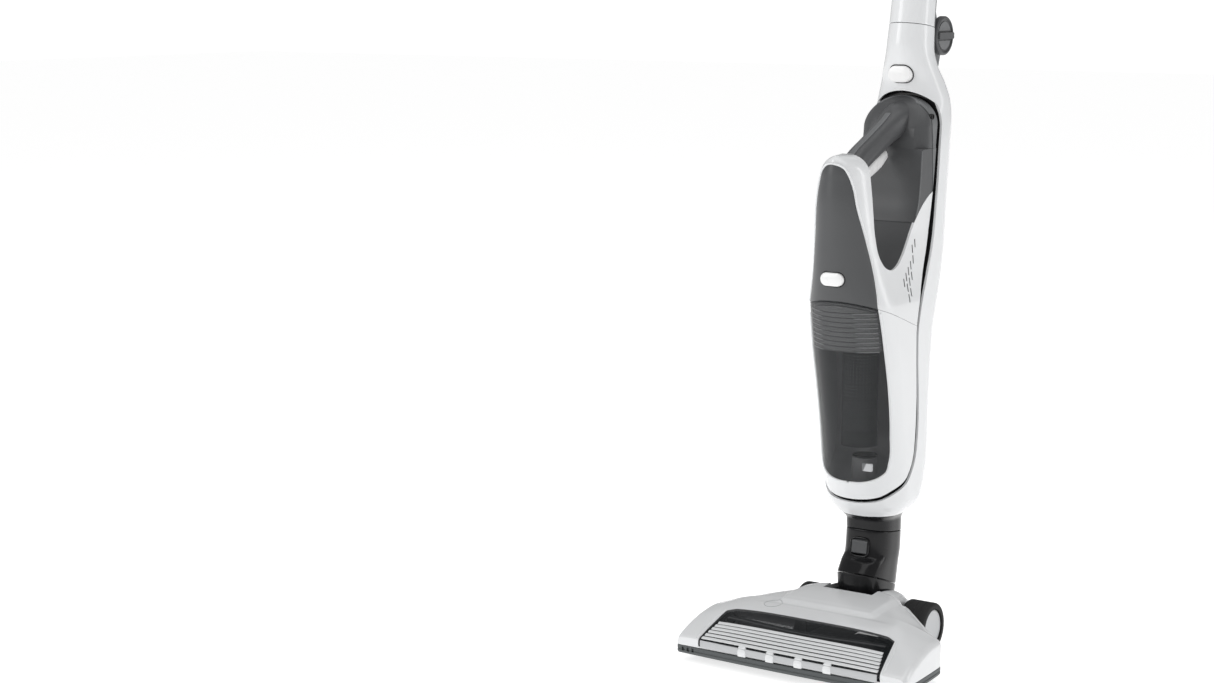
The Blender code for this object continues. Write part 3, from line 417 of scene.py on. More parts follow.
def moulded(name, colour, roughness, grain_mm, grain_depth_mm, mottle=0.02, **fixed):
    """Moulded plastic: a tool's fine grain as relief, a cloudy roughness and a faint mottle."""
    paint = Paint(name, colour, roughness, **fixed)
    cloud = paint.noise(38.0, 3.0)
    fine = paint.noise(grain_mm, 2.0)
    paint.feed("Base Color", paint.mix(cloud, lighter(colour, -mottle), lighter(colour, mottle)))
    spread = (cloud - 0.5) * (0.25 * roughness) + (fine - 0.5) * (0.2 * roughness)
    paint.feed("Roughness", roughness + spread)
    return paint.relief(fine, grain_depth_mm).material


def smoked(name, colour, share):
    """Clear smoked plastic. It hides more where it is seen at a slant."""
    paint = Paint(name, colour, 0.05, Specular_IOR_Level=0.35)
    slant = paint.node("ShaderNodeLayerWeight", {}, {"Blend": 0.35}, "Facing")
    haze = paint.noise(60.0, 2.0)
    paint.feed("Alpha", share + (slant ** 2) * (0.9 - share))
    paint.feed("Roughness", 0.04 + haze * 0.05)
    return paint.material


def turned_steel(name, colour):
    """Machined steel: fine rings across X in roughness and relief."""
    paint = Paint(name, colour, 0.3, Metallic=1.0)
    rings = paint.noise(1.0, 3.0, paint.stretched((6.0, 0.2, 0.2)))
    return paint.feed("Roughness", 0.22 + rings * 0.2).relief(rings, 0.01).material


def rubbery(name, colour):
    paint = Paint(name, colour, 0.72, Specular_IOR_Level=0.35)
    grain = paint.noise(0.7, 4.0)
    scuff = paint.noise(12.0, 5.0)
    paint.feed("Base Color", paint.mix(scuff ** 2, colour, lighter(colour, 1.2)))
    return paint.feed("Roughness", 0.62 + scuff * 0.2).relief(grain, 0.03).material


def bristles(name, colour):
    """Nylon tufts: cells a third of a millimetre across, pulled out along the roller."""
    paint = Paint(name, colour, 0.6, Sheen_Weight=0.3)
    tufts = paint.cells(0.6, paint.stretched((1.0, 0.35, 0.35)))
    paint.feed("Base Color", paint.mix(tufts, lighter(colour, 1.5), colour))
    return paint.relief(tufts, 0.25).material


def circuit(name, colour):
    """Solder mask over tracks: a raised net of square cells with bright pads."""
    paint = Paint(name, colour, 0.3, Coat_Weight=0.4)
    tracks = paint.node("ShaderNodeTexBrick", {}, {
        "Vector": paint.stretched((1.0, 1.0, 1.0), (pi / 2, 0.0, 0.0)), "Scale": 90.0,
        "Mortar Size": 0.03,
    }, "Fac")
    pads = paint.cells(3.2)
    shine = (0.09 - pads) * 12.0
    paint.feed("Base Color", paint.mix(tracks, colour, lighter(colour, 0.8)))
    return paint.feed("Metallic", shine).relief(tracks, 0.05).material


def pleated_paper(name, colour):
    paint = Paint(name, colour, 0.9)
    fibre = paint.noise(0.5, 5.0, paint.stretched((1.0, 1.0, 0.25)))
    dust = paint.noise(9.0, 3.0)
    paint.feed("Base Color", paint.mix(dust, lighter(colour, -0.18), colour))
    return paint.relief(fibre, 0.12).material


def perforated(name, colour, centre_y):
    """A plastic cage with rows of small round holes, drawn as dark dots with a raised rim.

    The holes are set on the turn a about the cage's axis and the height z: the distance
    |(frac(34 a / 2 pi) - 0.5, frac(z / 3.5 mm) - 0.5)| is under a quarter inside a hole.
    """
    paint = Paint(name, colour, 0.4)
    x, z = paint.axis("X"), paint.axis("Z")
    y = paint.axis("Y") - centre_y * MM
    turn = paint.node("ShaderNodeMath", {"operation": "ARCTAN2"}, {0: x, 1: y})
    across = paint.node("ShaderNodeMath", {"operation": "FRACT"}, {0: turn * (34 / (2 * pi)) + 100.0})
    along = paint.node("ShaderNodeMath", {"operation": "FRACT"}, {0: z * (1 / (3.5 * MM)) + 100.0})
    far = ((across - 0.5) ** 2 + (along - 0.5) ** 2) ** 0.5
    inside = paint.node("ShaderNodeMapRange", {"interpolation_type": "SMOOTHSTEP"}, {
        "Value": far, "From Min": 0.22, "From Max": 0.3, "To Min": 1.0, "To Max": 0.0})
    band = z.above(0.236) * (1.0 - z.above(0.318))
    hole = inside * band
    paint.feed("Base Color", paint.mix(hole, colour, lighter(colour, 1.6)))
    return paint.relief(1.0 - hole, 0.3).material


FINISHES = {}


def make_finishes(colours):
    """Every finish by its slot in the record."""
    FINISHES.update({
        "white": moulded("white_shell", colours.shell, 0.24, 0.9, 0.004, 0.012,
                         Coat_Weight=0.35, Coat_Roughness=0.08),
        "button_white": moulded("button_white", colours.button, 0.28, 0.8, 0.004, 0.01, Coat_Weight=0.3),
        "dark_cover": moulded("dark_cover", colours.cover, 0.36, 0.35, 0.010, 0.05,
                              Specular_IOR_Level=0.35),
        "gloss_black": moulded("gloss_black", colours.neck, 0.16, 1.2, 0.003, 0.05,
                               Specular_IOR_Level=0.24),
        "base_grey": moulded("base_grey", colours.base, 0.5, 0.45, 0.030, 0.06),
        "mid_grey": moulded("mid_grey", colours.middle, 0.38, 0.4, 0.010, 0.04),
        "light_grey": moulded("light_grey", colours.hub, 0.33, 0.5, 0.006, 0.03),
        "smoked_clear": smoked("smoked_clear", colours.smoke, 0.42),
        "black_rubber": rubbery("black_rubber", colours.rubber),
        "bristle": bristles("bristle", (0.03, 0.03, 0.032)),
        "steel": turned_steel("steel", (0.55, 0.55, 0.56)),
        "circuit_board": circuit("circuit_board", (0.02, 0.16, 0.07)),
        "filter_paper": pleated_paper("filter_paper", (0.75, 0.73, 0.68)),
        "battery": moulded("battery_sleeve", (0.05, 0.16, 0.30), 0.3, 1.5, 0.01, 0.05),
        "filter_cage": perforated("filter_cage", (0.10, 0.104, 0.108), FILTER_Y),
    })


# ---------------------------------------------------------------- shared outlines

# Hand unit: height, half width of the nose, half width at the back, front, where the nose starts
HAND_LEVELS = [
    (150, 46.0, 47.0, -40.0, 0.0), (168, 46.5, 47.0, -45.5, 1.0), (186, 46.5, 47.0, -51.0, -5.0),
    (234, 46.0, 47.0, -60.5, -14.0), (275, 46.8, 47.2, -68.5, -20.0), (318, 47.4, 47.4, -77.5, -29.0),
    (350, 47.0, 47.4, -83.5, -35.0), (366, 46.4, 47.2, -87.0, -38.0), (382, 42.5, 46.8, -89.5, -43.0),
    (400, 38.5, 46.0, -91.5, -48.0), (437, 32.5, 44.5, -94.0, -58.0), (477, 28.5, 43.0, -97.0, -62.0),
    (498, 25.5, 42.4, -96.0, -62.0),
]
COLUMN_TOP, COLUMN_RISE = 498.0, 22.5   # the column's round top starts here and rises this much
HEAD_CROWN = (543.0, 38.6, 31.0)        # height of the widest level, half width, rise of the crown
WAIST_Y, WAIST = 20.0, 38.8             # the head is at least this wide here
HAND_BACK = 90.0                        # y at which the hand unit's side has its full width
# Side view (y, z) of the gap between the hand unit and the frame, from the front lip upwards
GAP_POINTS = [
    (-60, 161), (-44, 163.5), (-37, 166), (-27, 173), (-10, 184), (3, 200), (8.5, 225), (9, 262),
    (5, 310), (5, 340), (11, 364), (23, 393), (36, 424), (47, 471), (55, 520), (60, 548), (62, 576),
]
# Side view of the finger opening: down the column's back, round the bottom, up to the head
OPENING_POINTS = [
    (-61.5, 500), (-62.5, 465), (-61.5, 437), (-57, 417), (-48, 406.5), (-37, 403), (-25, 406),
    (-13, 415), (0, 430), (12, 447),
]
SPINE_POINTS = [(12, 447), (20, 464), (24, 488), (27, 520), (34, 546), (47, 566), (62, 577)]
WHITE_POINTS = [(12, 447), (27, 463), (41, 473), (75, 483)]
# Front view (x, z) of the opening that the front cover and the bin window fill, right half
FACE_POINTS = [
    (0, 513), (8, 511), (13.5, 504), (18, 492), (23, 466), (28.5, 436), (33.5, 406), (38.5, 368),
    (40.5, 330), (41, 273), (40, 232), (38.5, 206), (35, 193), (26, 186), (13, 182.5), (0, 182),
]
GAP_LINE = curve(GAP_POINTS, 90)
OPENING_LINE = curve(OPENING_POINTS, 60)
SPINE_LINE = curve(SPINE_POINTS, 40)
WHITE_LINE = curve(WHITE_POINTS, 24)
FACE_LINE = curve(FACE_POINTS, 120)
SEAM_Z0, SEAM_Y0, SEAM_FALL = 375.0, -89.0, 0.354
FILTER_Y, FILTER_R = -27.0, 19.0
INLET_Y = -14.0
BUTTON_Z = 397.0                        # bin release button
HAND_BUTTON_Z = 596.0                   # release button on the frame


def seam_z(y):
    """Height of the sloping seam between the hand unit and its bin."""
    return SEAM_Z0 - SEAM_FALL * (y - SEAM_Y0)


def hand_rows(z):
    """Half width of the nose and at the back, front and start of the nose, up to the column's top.

    Above COLUMN_TOP, u goes from 0 to 1 and the nose shrinks as sqrt(1 - u^2).
    """
    z = np.atleast_1d(np.asarray(z, float))
    rows = through(HAND_LEVELS, np.minimum(z, COLUMN_TOP), overshoot=False)
    u = np.clip((z - COLUMN_TOP) / COLUMN_RISE, 0, 0.995)
    round_off = np.sqrt(1 - u**2)
    rows[:, 0] *= round_off
    rows[:, 1] -= 1.4 * u
    rows[:, 2] += 8 * (1 - round_off)
    return rows


def nose_front(x, z):
    """Y of the hand unit's rounded front: start - (start - front) sqrt(1 - (x / nose)^2)."""
    nose, _, front, start = hand_rows(z).T
    return start - (start - front) * np.sqrt(np.clip(1 - (x / nose) ** 2, 0, 1))


def hand_form(name, inset=0.0):
    """The hand unit's outside, drawn in by an inset, from its foot to the crown of its head.

    A level is half an ellipse round the nose and two straight sides. The head's levels shrink
    as sqrt(1 - u^2) over its rise.
    """
    top = COLUMN_TOP + (COLUMN_RISE - inset) * np.sin(np.linspace(0, 1.47, 16))[1:]
    z = np.concatenate([np.linspace(HAND_LEVELS[0][0], COLUMN_TOP, 110), top])
    column = np.column_stack([z, hand_rows(z)])
    middle, half, rise = HEAD_CROWN
    part = np.sin(np.linspace(0, pi / 2, 30))[:-1]
    side = (half - inset) * np.sqrt(1 - part**2) + inset
    head = np.column_stack([middle + (rise - inset) * part, side, side, 28 + 14 * part, 46 + 12 * part])
    neck = [(COLUMN_TOP + COLUMN_RISE + 0.5, 40.0, 41.0, 18.0, 50.0)]
    z, nose, side, front, start = np.vstack([column, neck, head]).T[:, :, None]
    angle = np.linspace(0, pi, 65)
    x = -(nose - inset) * np.cos(angle)
    y = start - (start - front - inset) * np.sin(angle)
    linear = nose + (side - nose) * (WAIST_Y - start) / (HAND_BACK - start)
    waist = np.where(z < HEAD_CROWN[0] - 20, np.maximum(linear, WAIST), linear)
    at = np.maximum(start + 2, WAIST_Y)
    sides = [(waist - inset, at), (side - inset, np.full_like(z, HAND_BACK))]
    x = np.hstack([x, *[s for s, _ in sides], *[-s for s, _ in reversed(sides)]])
    y = np.hstack([y, *[p for _, p in sides], *[p for _, p in reversed(sides)]])
    return stacked(name, np.stack([x, y, np.broadcast_to(z, x.shape)], axis=2))


def seam_half(name, above, offset):
    """Everything above or below the sloping seam."""
    front, back = -150.0, 120.0
    limit = 700.0 if above else 100.0
    outline = [(y, seam_z(y) + offset) for y in (front, back)] + [(back, limit), (front, limit)]
    return extruded(name, outline, "YZ", -80, 80)


def front_of_gap(name, offset=0.0):
    line = shifted(GAP_LINE, offset)
    outline = [*line, (line[-1][0], 640), (-150, 640), (-150, line[0][1])]
    return extruded(name, outline, "YZ", -80, 80)


def face_outline(inset):
    right = FACE_LINE.copy()
    run = np.gradient(right, axis=0)
    run /= np.linalg.norm(run, axis=1)[:, None]
    right = right + inset * np.column_stack([run[:, 1], -run[:, 0]])
    right[0, 0] = right[-1, 0] = 0.0
    left = right[1:-1][::-1] * (-1, 1)
    return np.vstack([right, left])


def face_form(name, inset, back):
    return extruded(name, face_outline(inset), "XZ", -140, back)


def stadium(half_width, radius, steps=20):
    """Two half circles joined by straight sides."""
    turn = np.linspace(-pi / 2, pi / 2, steps)
    right = np.column_stack([half_width - radius + radius * np.cos(turn), radius * np.sin(turn)])
    return np.vstack([right, -right])


def pushbutton(name, centre_z, half_width, radius, front, back, dome=0.8, steps=7):
    """A round-ended button whose face swells by a dome and whose rim is a quarter circle.

    Ring k is the stadium drawn in by r (1 - cos t) at depth r (1 - sin t), then smaller ones
    that carry the dome.
    """
    rim = 1.4
    rings = [(0.0, back)]
    turn = np.linspace(0, pi / 2, steps)
    rings += [(rim * (1 - np.cos(t)), front + rim * (1 - np.sin(t))) for t in turn]
    rings += [(rim + (radius - rim) * s, front - dome * (1 - (1 - s) ** 2)) for s in (0.3, 0.6, 0.85)]
    made = []
    for inset, y in rings:
        outline = stadium(half_width - inset, max(radius - inset, 0.3))
        made.append(np.column_stack([outline[:, 0], np.full(len(outline), y), outline[:, 1] + centre_z]))
    return stacked(name, np.array(made))


def box_form(name, corner, opposite):
    (x0, y0, z0), (x1, y1, z1) = corner, opposite
    return extruded(name, [(x0, y0), (x1, y0), (x1, y1), (x0, y1)], "XY", z0, z1)


def rod_form(name, start, end, radius, centre, axis="X", steps=64):
    """A solid cylinder along an axis with rounded rims."""
    profile = [(start, 0), (start, radius), (end, radius), (end, 0)]
    return turned(name, rounded(profile, min(0.8, radius * 0.2)), centre, axis, steps)


def together(name, forms):
    """Several closed forms as one mesh."""
    work = bmesh.new()
    for part in forms:
        work.from_mesh(part.data)
    mesh = bpy.data.meshes.new(name)
    work.to_mesh(mesh)
    work.free()
    return loose(name, mesh)


def band(half, front, back, z, power=2.6, tilt=0.0, middle=None, steps=96):
    """A closed level: a superellipse that may be tilted about its own middle."""
    middle = (front + back) / 2 if middle is None else middle
    across, along = superellipse(np.arange(steps) * 2 * pi / steps, power)
    y = middle + np.where(along > 0, back - middle, middle - front) * along
    return np.column_stack([half * across, y, z + tilt * (y - middle)])


def bands(name, table, edge=1.0, rows=24):
    """A solid through bands whose columns are z, half, front, back, power, tilt and middle.

    Its two ends are drawn in by a quarter circle of radius edge.
    """
    table = np.asarray(table, float)
    low_z, high_z = table[0, 0], table[-1, 0]
    turn = np.linspace(0, pi / 2, 6)
    low_edge = [(low_z + edge * (1 - np.cos(t)), edge * (1 - np.sin(t))) for t in turn]
    high_edge = [(high_z - edge * (1 - np.cos(t)), edge * (1 - np.sin(t))) for t in turn[::-1]]
    between = [(z, 0.0) for z in np.linspace(low_z + edge, high_z - edge, rows)[1:-1]]
    rings = []
    for z, inset in [*low_edge, *between, *high_edge]:
        half, front, back, power, tilt, middle = through(table, z, overshoot=False)[0]
        rings.append(band(half - inset, front + inset, back - inset, z, power, tilt, middle))
    return stacked(name, np.array(rings))


# ---------------------------------------------------------------- floor head

HEAD_FRONT, HEAD_HALF, HEAD_SPLIT, BASE_BOTTOM = -174.0, 131.5, 17.6, 9.0
CHEEK_IN, CHEEK_OUT = 28.5, 43.0
WHEEL_R, WHEEL_Y, WHEEL_IN, WHEEL_OUT, HUB_R = 26.8, -0.5, 47.0, 77.0, 20.0
BRUSH_Y, BRUSH_Z, BRUSH_R = -141.0, 16.6, 15.0
# Place along Y, half width, height at the edge, height in the middle
COVER_LEVELS = [
    (HEAD_FRONT, 127.0, 22.0, 22.5), (HEAD_FRONT + 0.5, 130.0, 26.0, 27.5),
    (-168.0, HEAD_HALF, 29.5, 31.5), (-150.0, 131.0, 37.0, 41.0), (-126.0, 130.0, 43.5, 52.5),
    (-105.0, 129.0, 46.0, 57.0), (-88.0, 127.5, 45.5, 59.5), (-82.5, 121.0, 45.5, 60.5),
    (-60.0, 96.0, 50.0, 63.0), (-40.0, 74.0, 54.0, 64.5), (-31.0, 63.0, 55.5, 65.0),
    (-29.5, 43.0, 58.0, 65.0), (0.0, 43.0, 55.0, 60.0), (17.0, 41.0, 49.0, 53.0),
    (24.0, 37.0, 42.0, 45.0),
]
CLIP_PLACES = (-51.0, -18.5, 14.0, 46.5)   # hooks over the window's lower edge, along X
WINDOW_PLAN = [
    (-104, -190), (104, -190), (104, -172), (97, -127.5), (88, -123.5), (-88, -123.5),
    (-97, -127.5), (-104, -172),
]


def bulge(x, y):
    """The front edge is bowed: its ends lie further back than its middle, by 3 (x / half)^2."""
    return 3.0 * (x / HEAD_HALF) ** 2 * np.clip((-60.0 - y) / 100.0, 0, 1)


def plateau(x, y, rise):
    """The raised field in front of the neck, with a soft rim, and a shallow dish round it."""
    field = smoothstep(58, 50, np.abs(x)) * smoothstep(-99, -91, y)
    dish = smoothstep(86, 60, np.abs(x)) * smoothstep(-104, -96, y)
    return rise * field - 0.45 * rise * (dish - field) * (dish > field)


def cover_form(name, inset, bottom, rise=0.0):
    """The cover's outside, or with an inset the hollow inside it.

    Across a level u goes from -1 to 1, z = edge + (middle - edge)(1 - u^4), then a quarter
    circle leads down to the side.
    """
    y = np.unique(np.concatenate([np.linspace(HEAD_FRONT, 24, 130), [r[0] for r in COVER_LEVELS]]))
    half, edge, middle = (through(COVER_LEVELS, y, overshoot=False) - inset).T[:, :, None]
    y = y + inset * np.where(y < HEAD_FRONT + 10, 1, 0) - inset * np.where(y > 20, 1, 0)
    y = y[:, None]
    corner = np.minimum(7.0, (edge - bottom) * 0.8)
    u = np.linspace(-1, 1, 121)
    x = (half - corner) * u
    z = edge + (middle - edge) * (1 - u**4) + plateau(x, y, rise)
    turn = np.linspace(0, pi / 2, 9)[1:]
    round_x = half - corner * (1 - np.sin(turn))
    round_z = edge - corner * (1 - np.cos(turn))
    foot = np.full_like(half, bottom)
    x = np.hstack([x, round_x, half, -half, -round_x[:, ::-1]])
    z = np.hstack([z, round_z, foot, foot, round_z[:, ::-1]])
    y = np.broadcast_to(y, x.shape)
    return stacked(name, np.stack([x, y + bulge(x, y), z], axis=2))


def cover_top(x, y):
    """Height of the cover's outside above a point of its plan."""
    half, edge, middle = through(COVER_LEVELS, y, overshoot=False).T
    return edge + (middle - edge) * (1 - np.clip(x / (half - 7.0), -1, 1) ** 4)


def window_plan(name, inset):
    plan = np.array(WINDOW_PLAN, float)
    plan[:, 0] -= inset * np.sign(plan[:, 0])
    plan[:, 1] -= inset * (plan[:, 1] > -130)
    return extruded(name, plan, "XY", 19.5 + (GAP if inset else 0), 90)


class Piece:
    """What every operator here shares."""

    bl_options = {"REGISTER", "UNDO"}

    def done(self):
        clear_forms()
        return {"FINISHED"}


class VACUUM_OT_cover(Piece, bpy.types.Operator):
    """The white cover of the floor head, with the raised field before its neck and a plain ring"""

    bl_idname = "vacuum.cover"
    bl_label = "Nozzle cover"

    def execute(self, context):
        sizes = context.scene.vacuum_sizes
        cover = cover_form("cover", 0.0, HEAD_SPLIT + GAP, sizes.plateau)
        inside = cover_form("inside", WALL, 0.0)
        slot = box_form("slot", (-CHEEK_IN, -47, 5), (CHEEK_IN, 60, 120))
        shape(cover, *cut(inside, slot, window_plan("window", 0.0)))
        piece(cover, "nozzle_cover_shell", "floor_head", "white", ["nozzle_cover"])

        edge = curve([(-98, -127.0), (-103.4, -150), (-105.2, -172)], 24)
        rims = []
        for side in (-1, 1):
            x, y = side * np.abs(edge[:, 0]) + side * 1.2, edge[:, 1]
            path = np.column_stack([x, y + bulge(x, y), cover_top(x, y) - 0.4])
            rims.append(swept("rim", path, (1.2, 0.9), (1, 0, 0), 12))
        rims += [self.clip(x) for x in CLIP_PLACES]
        piece(together("rims", rims), "nozzle_window_clips", "floor_head", "white")

        ring = np.linspace(0, 2 * pi, 60, endpoint=False)
        x, y = -56 + 9.3 * np.cos(ring), -102.7 + 9.3 * np.sin(ring)
        path = np.column_stack([x, y, cover_top(x, y) + plateau(x, y, sizes.plateau) - 0.15])
        badge = swept("badge", path, (0.55, 0.4), (0, 0, 1), 10, closed=True)
        piece(badge, "nozzle_ring_mark", "floor_head", "light_grey")
        return self.done()

    def clip(self, x):
        """A white hook over the window's lower edge."""
        bow = bulge(np.array(x), np.array(HEAD_FRONT))
        path = [(x, HEAD_FRONT - 0.2 + bow, 18.6), (x, HEAD_FRONT - 0.6 + bow, 22.0),
                (x, HEAD_FRONT + 0.3 + bow, 26.0), (x, HEAD_FRONT + 4.0 + bow, 29.6)]
        return swept("clip", curve(path, 14), (4.6, 1.0), (1, 0, 0), 20, power=4.0)


class VACUUM_OT_window(Piece, bpy.types.Operator):
    """The smoked window over the brush, its ribs and the insert behind its upper half"""

    bl_idname = "vacuum.window"
    bl_label = "Nozzle window"

    def execute(self, context):
        sizes = context.scene.vacuum_sizes
        window = window_plan("window", GAP)
        shape(window, *kept(cover_form("outside", 0.0, HEAD_SPLIT + GAP)), *cut(cover_form("in", WALL, 0.0)))
        piece(window, "nozzle_clear_window", "floor_head", "smoked_clear", ["nozzle_window"])
        ribs = []
        for y in np.linspace(-171.2, -149.0, sizes.window_ribs):
            x = np.linspace(-100.5, 100.5, 60) * (1 - 0.055 * (y + 171) / 20)
            path = np.column_stack([x, y + bulge(x, y), cover_top(x, y) + 0.1])
            ribs.append(swept("rib", path, (1.95, 0.5), (0, 1, 0.48), 12, power=3.0))
        piece(together("ribs", ribs), "nozzle_window_ribs", "floor_head", "white")
        x = np.linspace(-101, 101, 60)
        path = np.column_stack([x, HEAD_FRONT - 0.3 + bulge(x, HEAD_FRONT), np.full(60, 23.2)])
        strip = swept("strip", path, (0.6, 3.6), (0, 1, 0), 16, power=4.0)
        piece(strip, "nozzle_front_strip", "floor_head", "light_grey")
        x = np.linspace(-90, 90, 60)
        arc = -138.0 + 6.0 * (x / 90) ** 2
        path = np.column_stack([x, arc, cover_top(x, arc) - WALL - 2.2])
        insert = swept("insert", path, (4.4, 0.8), (0, 1, 0), 16, power=4.0)
        piece(insert, "nozzle_light_strip", "floor_head", "mid_grey")
        guard = []
        for y, z in ((-164.0, 20.8), (-164.0, 23.4), (-163.2, 26.0), (-160.8, 28.2)):
            x = np.linspace(-98, 98, 50)
            path = np.column_stack([x, y + bulge(x, y), np.full(50, z)])
            guard.append(swept("bar", path, (0.7, 0.6), (0, 1, 0), 10))
        for x in np.linspace(-96, 96, 33):
            foot = bulge(x, -164.0)
            path = curve([(x, -163.2 + foot, 20), (x, -163.0 + foot, 25), (x, -159.4 + foot, 29)], 8)
            guard.append(swept("post", path, (0.6, 0.7), (1, 0, 0), 8))
        piece(together("guard", guard), "brush_guard_grid", "floor_head", "light_grey", ["front_guard"])
        return self.done()


class VACUUM_OT_base(Piece, bpy.types.Operator):
    """The grey base: its bumper edge, suction mouth, cheeks, screw wells and roller bays"""

    bl_idname = "vacuum.base"
    bl_label = "Nozzle base"

    def plan(self, inset):
        levels = np.array(COVER_LEVELS)
        y = np.concatenate([np.linspace(HEAD_FRONT, -32, 80), np.linspace(-29.4, 24, 30)])
        half = through(levels, y, overshoot=False)[:, 0] - inset
        y = np.clip(y, HEAD_FRONT + inset, 24 - inset)
        front = np.linspace(-half[0], half[0], 41)[1:-1]
        x = np.concatenate([front, half, -half[::-1]])
        y = np.concatenate([np.full(39, y[0]), y, y[::-1]])
        return np.column_stack([x, y + bulge(x, y)])

    def execute(self, context):
        rings = []
        for z, inset in ((9, 1.6), (9.3, 0.9), (10, 0.3), (11, 0.0), (12.6, 0.0), (12.9, 0.5), (13.7, 0.5),
                         (14.0, 0.0), (17.2, 0.0), (HEAD_SPLIT, 0.4)):
            plan = self.plan(inset)
            rings.append(np.column_stack([plan, np.full(len(plan), z)]))
        base = stacked("base", np.array(rings))
        holes = [
            box_form("mouth", (-121.5, -158, 0), (113, -118, 40)),
            box_form("belt", (-117, -119, 14), (-103, -84, 40)),
            box_form("rear", (-CHEEK_IN, -32, 0), (CHEEK_IN, 60, 40)),
            rod_form("motor", -102, -25, 15.5, (0, -98, 31)),
            rod_form("duct", -125, -31, 12.0, (0, 0, 28), "Y"),
        ]
        holes += [box_form("bay", (s * 92 - 8, -109, 0), (s * 92 + 8, -87, 40)) for s in (-1, 1)]
        holes += [rod_form("screw_well", 5, 10.4, 3.6, (x, y, 0), "Z", 32)
                  for x, y in ((-60, -80), (60, -80), (-112, -112), (112, -112))]
        holes += [box_form("notch", (x, -176, 12), (x + 3, -172.2 + bulge(x, -174.0), 16))
                  for x in np.linspace(-124, -112, 3)]
        cheeks = []
        for side in (-1, 1):
            near, far = sorted((side * (CHEEK_IN + 0.6), side * (CHEEK_OUT - WALL - 2.6)))
            cheeks.append(box_form("cheek", (near, -24, BASE_BOTTOM + 1), (far, 14, 44)))
        shape(base, *cut(*holes), *added(*cheeks))
        piece(base, "nozzle_base_moulding", "floor_head", "base_grey", ["nozzle_base"])
        return self.done()


class VACUUM_OT_wheels(Piece, bpy.types.Operator):
    """Both rear wheels and the small supporting rollers"""

    bl_idname = "vacuum.wheels"
    bl_label = "Wheels"

    def execute(self, context):
        sizes = context.scene.vacuum_sizes
        centre = (0, WHEEL_Y, WHEEL_R)
        for side, name in ((-1, "left"), (1, "right")):
            across = np.linspace(WHEEL_IN, WHEEL_OUT, 140)
            edge = np.minimum(across - WHEEL_IN, WHEEL_OUT - across)
            crown = WHEEL_R - 3.2 * (1 - np.sqrt(np.clip(1 - (1 - np.clip(edge / 3.2, 0, 1)) ** 2, 0, 1)))
            groove = smoothstep(0.55, 0.8, np.cos((across - WHEEL_IN) * 2 * pi / 7.5)) * (edge > 5)
            outer = np.column_stack([side * across, crown - sizes.tread * groove])
            inner = [(side * WHEEL_OUT, HUB_R + GAP), (side * WHEEL_IN, HUB_R + GAP)]
            tyre = turned("tyre", np.vstack([outer, inner]), centre, "X", 128)
            piece(tyre, f"tyre_{name}_tread", f"wheel_{name}", "black_rubber", [f"tyre_{name}"])
            face = WHEEL_OUT - 1.5
            profile = [(WHEEL_IN, 4.3), (WHEEL_IN, HUB_R), (face - 1.2, HUB_R), (face, 18.6), (face, 17.2),
                       (face - 0.5, 16.8), (face - 0.3, 0), (face - 0.8, 0), (face - 0.8, 4.3)]
            profile = rounded([(side * a, r) for a, r in profile], 0.6)
            hub = turned("hub", profile, centre, "X", 96)
            piece(hub, f"hub_{name}_disc", f"wheel_{name}", "light_grey", [f"hub_{name}"])
            profile = rounded([(-6, 1.6), (-6, 7.0), (-5, 8.0), (-1, 8.0), (-0.6, 7.5), (0.6, 7.5), (1, 8.0),
                               (5, 8.0), (6, 7.0), (6, 1.6)], 0.5)
            roller = turned("roller", profile, (side * 92, -98, 8.0), "X", 64)
            piece(roller, f"support_roller_{name}_wheel", f"roller_{name}", "mid_grey",
                  [f"support_roller_{name}"])
        return self.done()


class VACUUM_OT_brush(Piece, bpy.types.Operator):
    """The brush roller: a core with four spiral rows of bristles"""

    bl_idname = "vacuum.brush"
    bl_label = "Brush roller"

    def execute(self, context):
        along = np.linspace(0, 1, 90)[:, None]
        angle = np.linspace(0, 2 * pi, 160, endpoint=False)[None, :]
        row = smoothstep(0.35, 0.75, np.cos(4 * angle))
        tuft = 0.6 + 0.4 * np.sin(along * 90 * pi)
        radius = 10.8 + (BRUSH_R - 10.8 - 0.2) * row * tuft
        turn = angle + along * pi
        x = np.broadcast_to(-103 + 210 * along, radius.shape)
        rings = np.stack([x, BRUSH_Y + radius * np.cos(turn), BRUSH_Z + radius * np.sin(turn)], axis=2)
        brush = stacked("brush", rings)
        piece(brush, "brush_roller_bristles", "brush", "bristle", ["brush_roller"])
        return self.done()


# ---------------------------------------------------------------- neck and upright

SWIVEL_Y, SWIVEL_Z, SWIVEL_SLOPE = -4.0, 70.5, -0.36
NECK_TOP, SEAM_LEAN, FOLD_SEAM = 121.3, 0.15, 645.0
DUCT_Y, DUCT_R = 8.0, 12.6
FOLD_Y, FOLD_Z, KNOB_R, HANDLE_TOP = 115.5, 634.0, 20.5, 1100.0
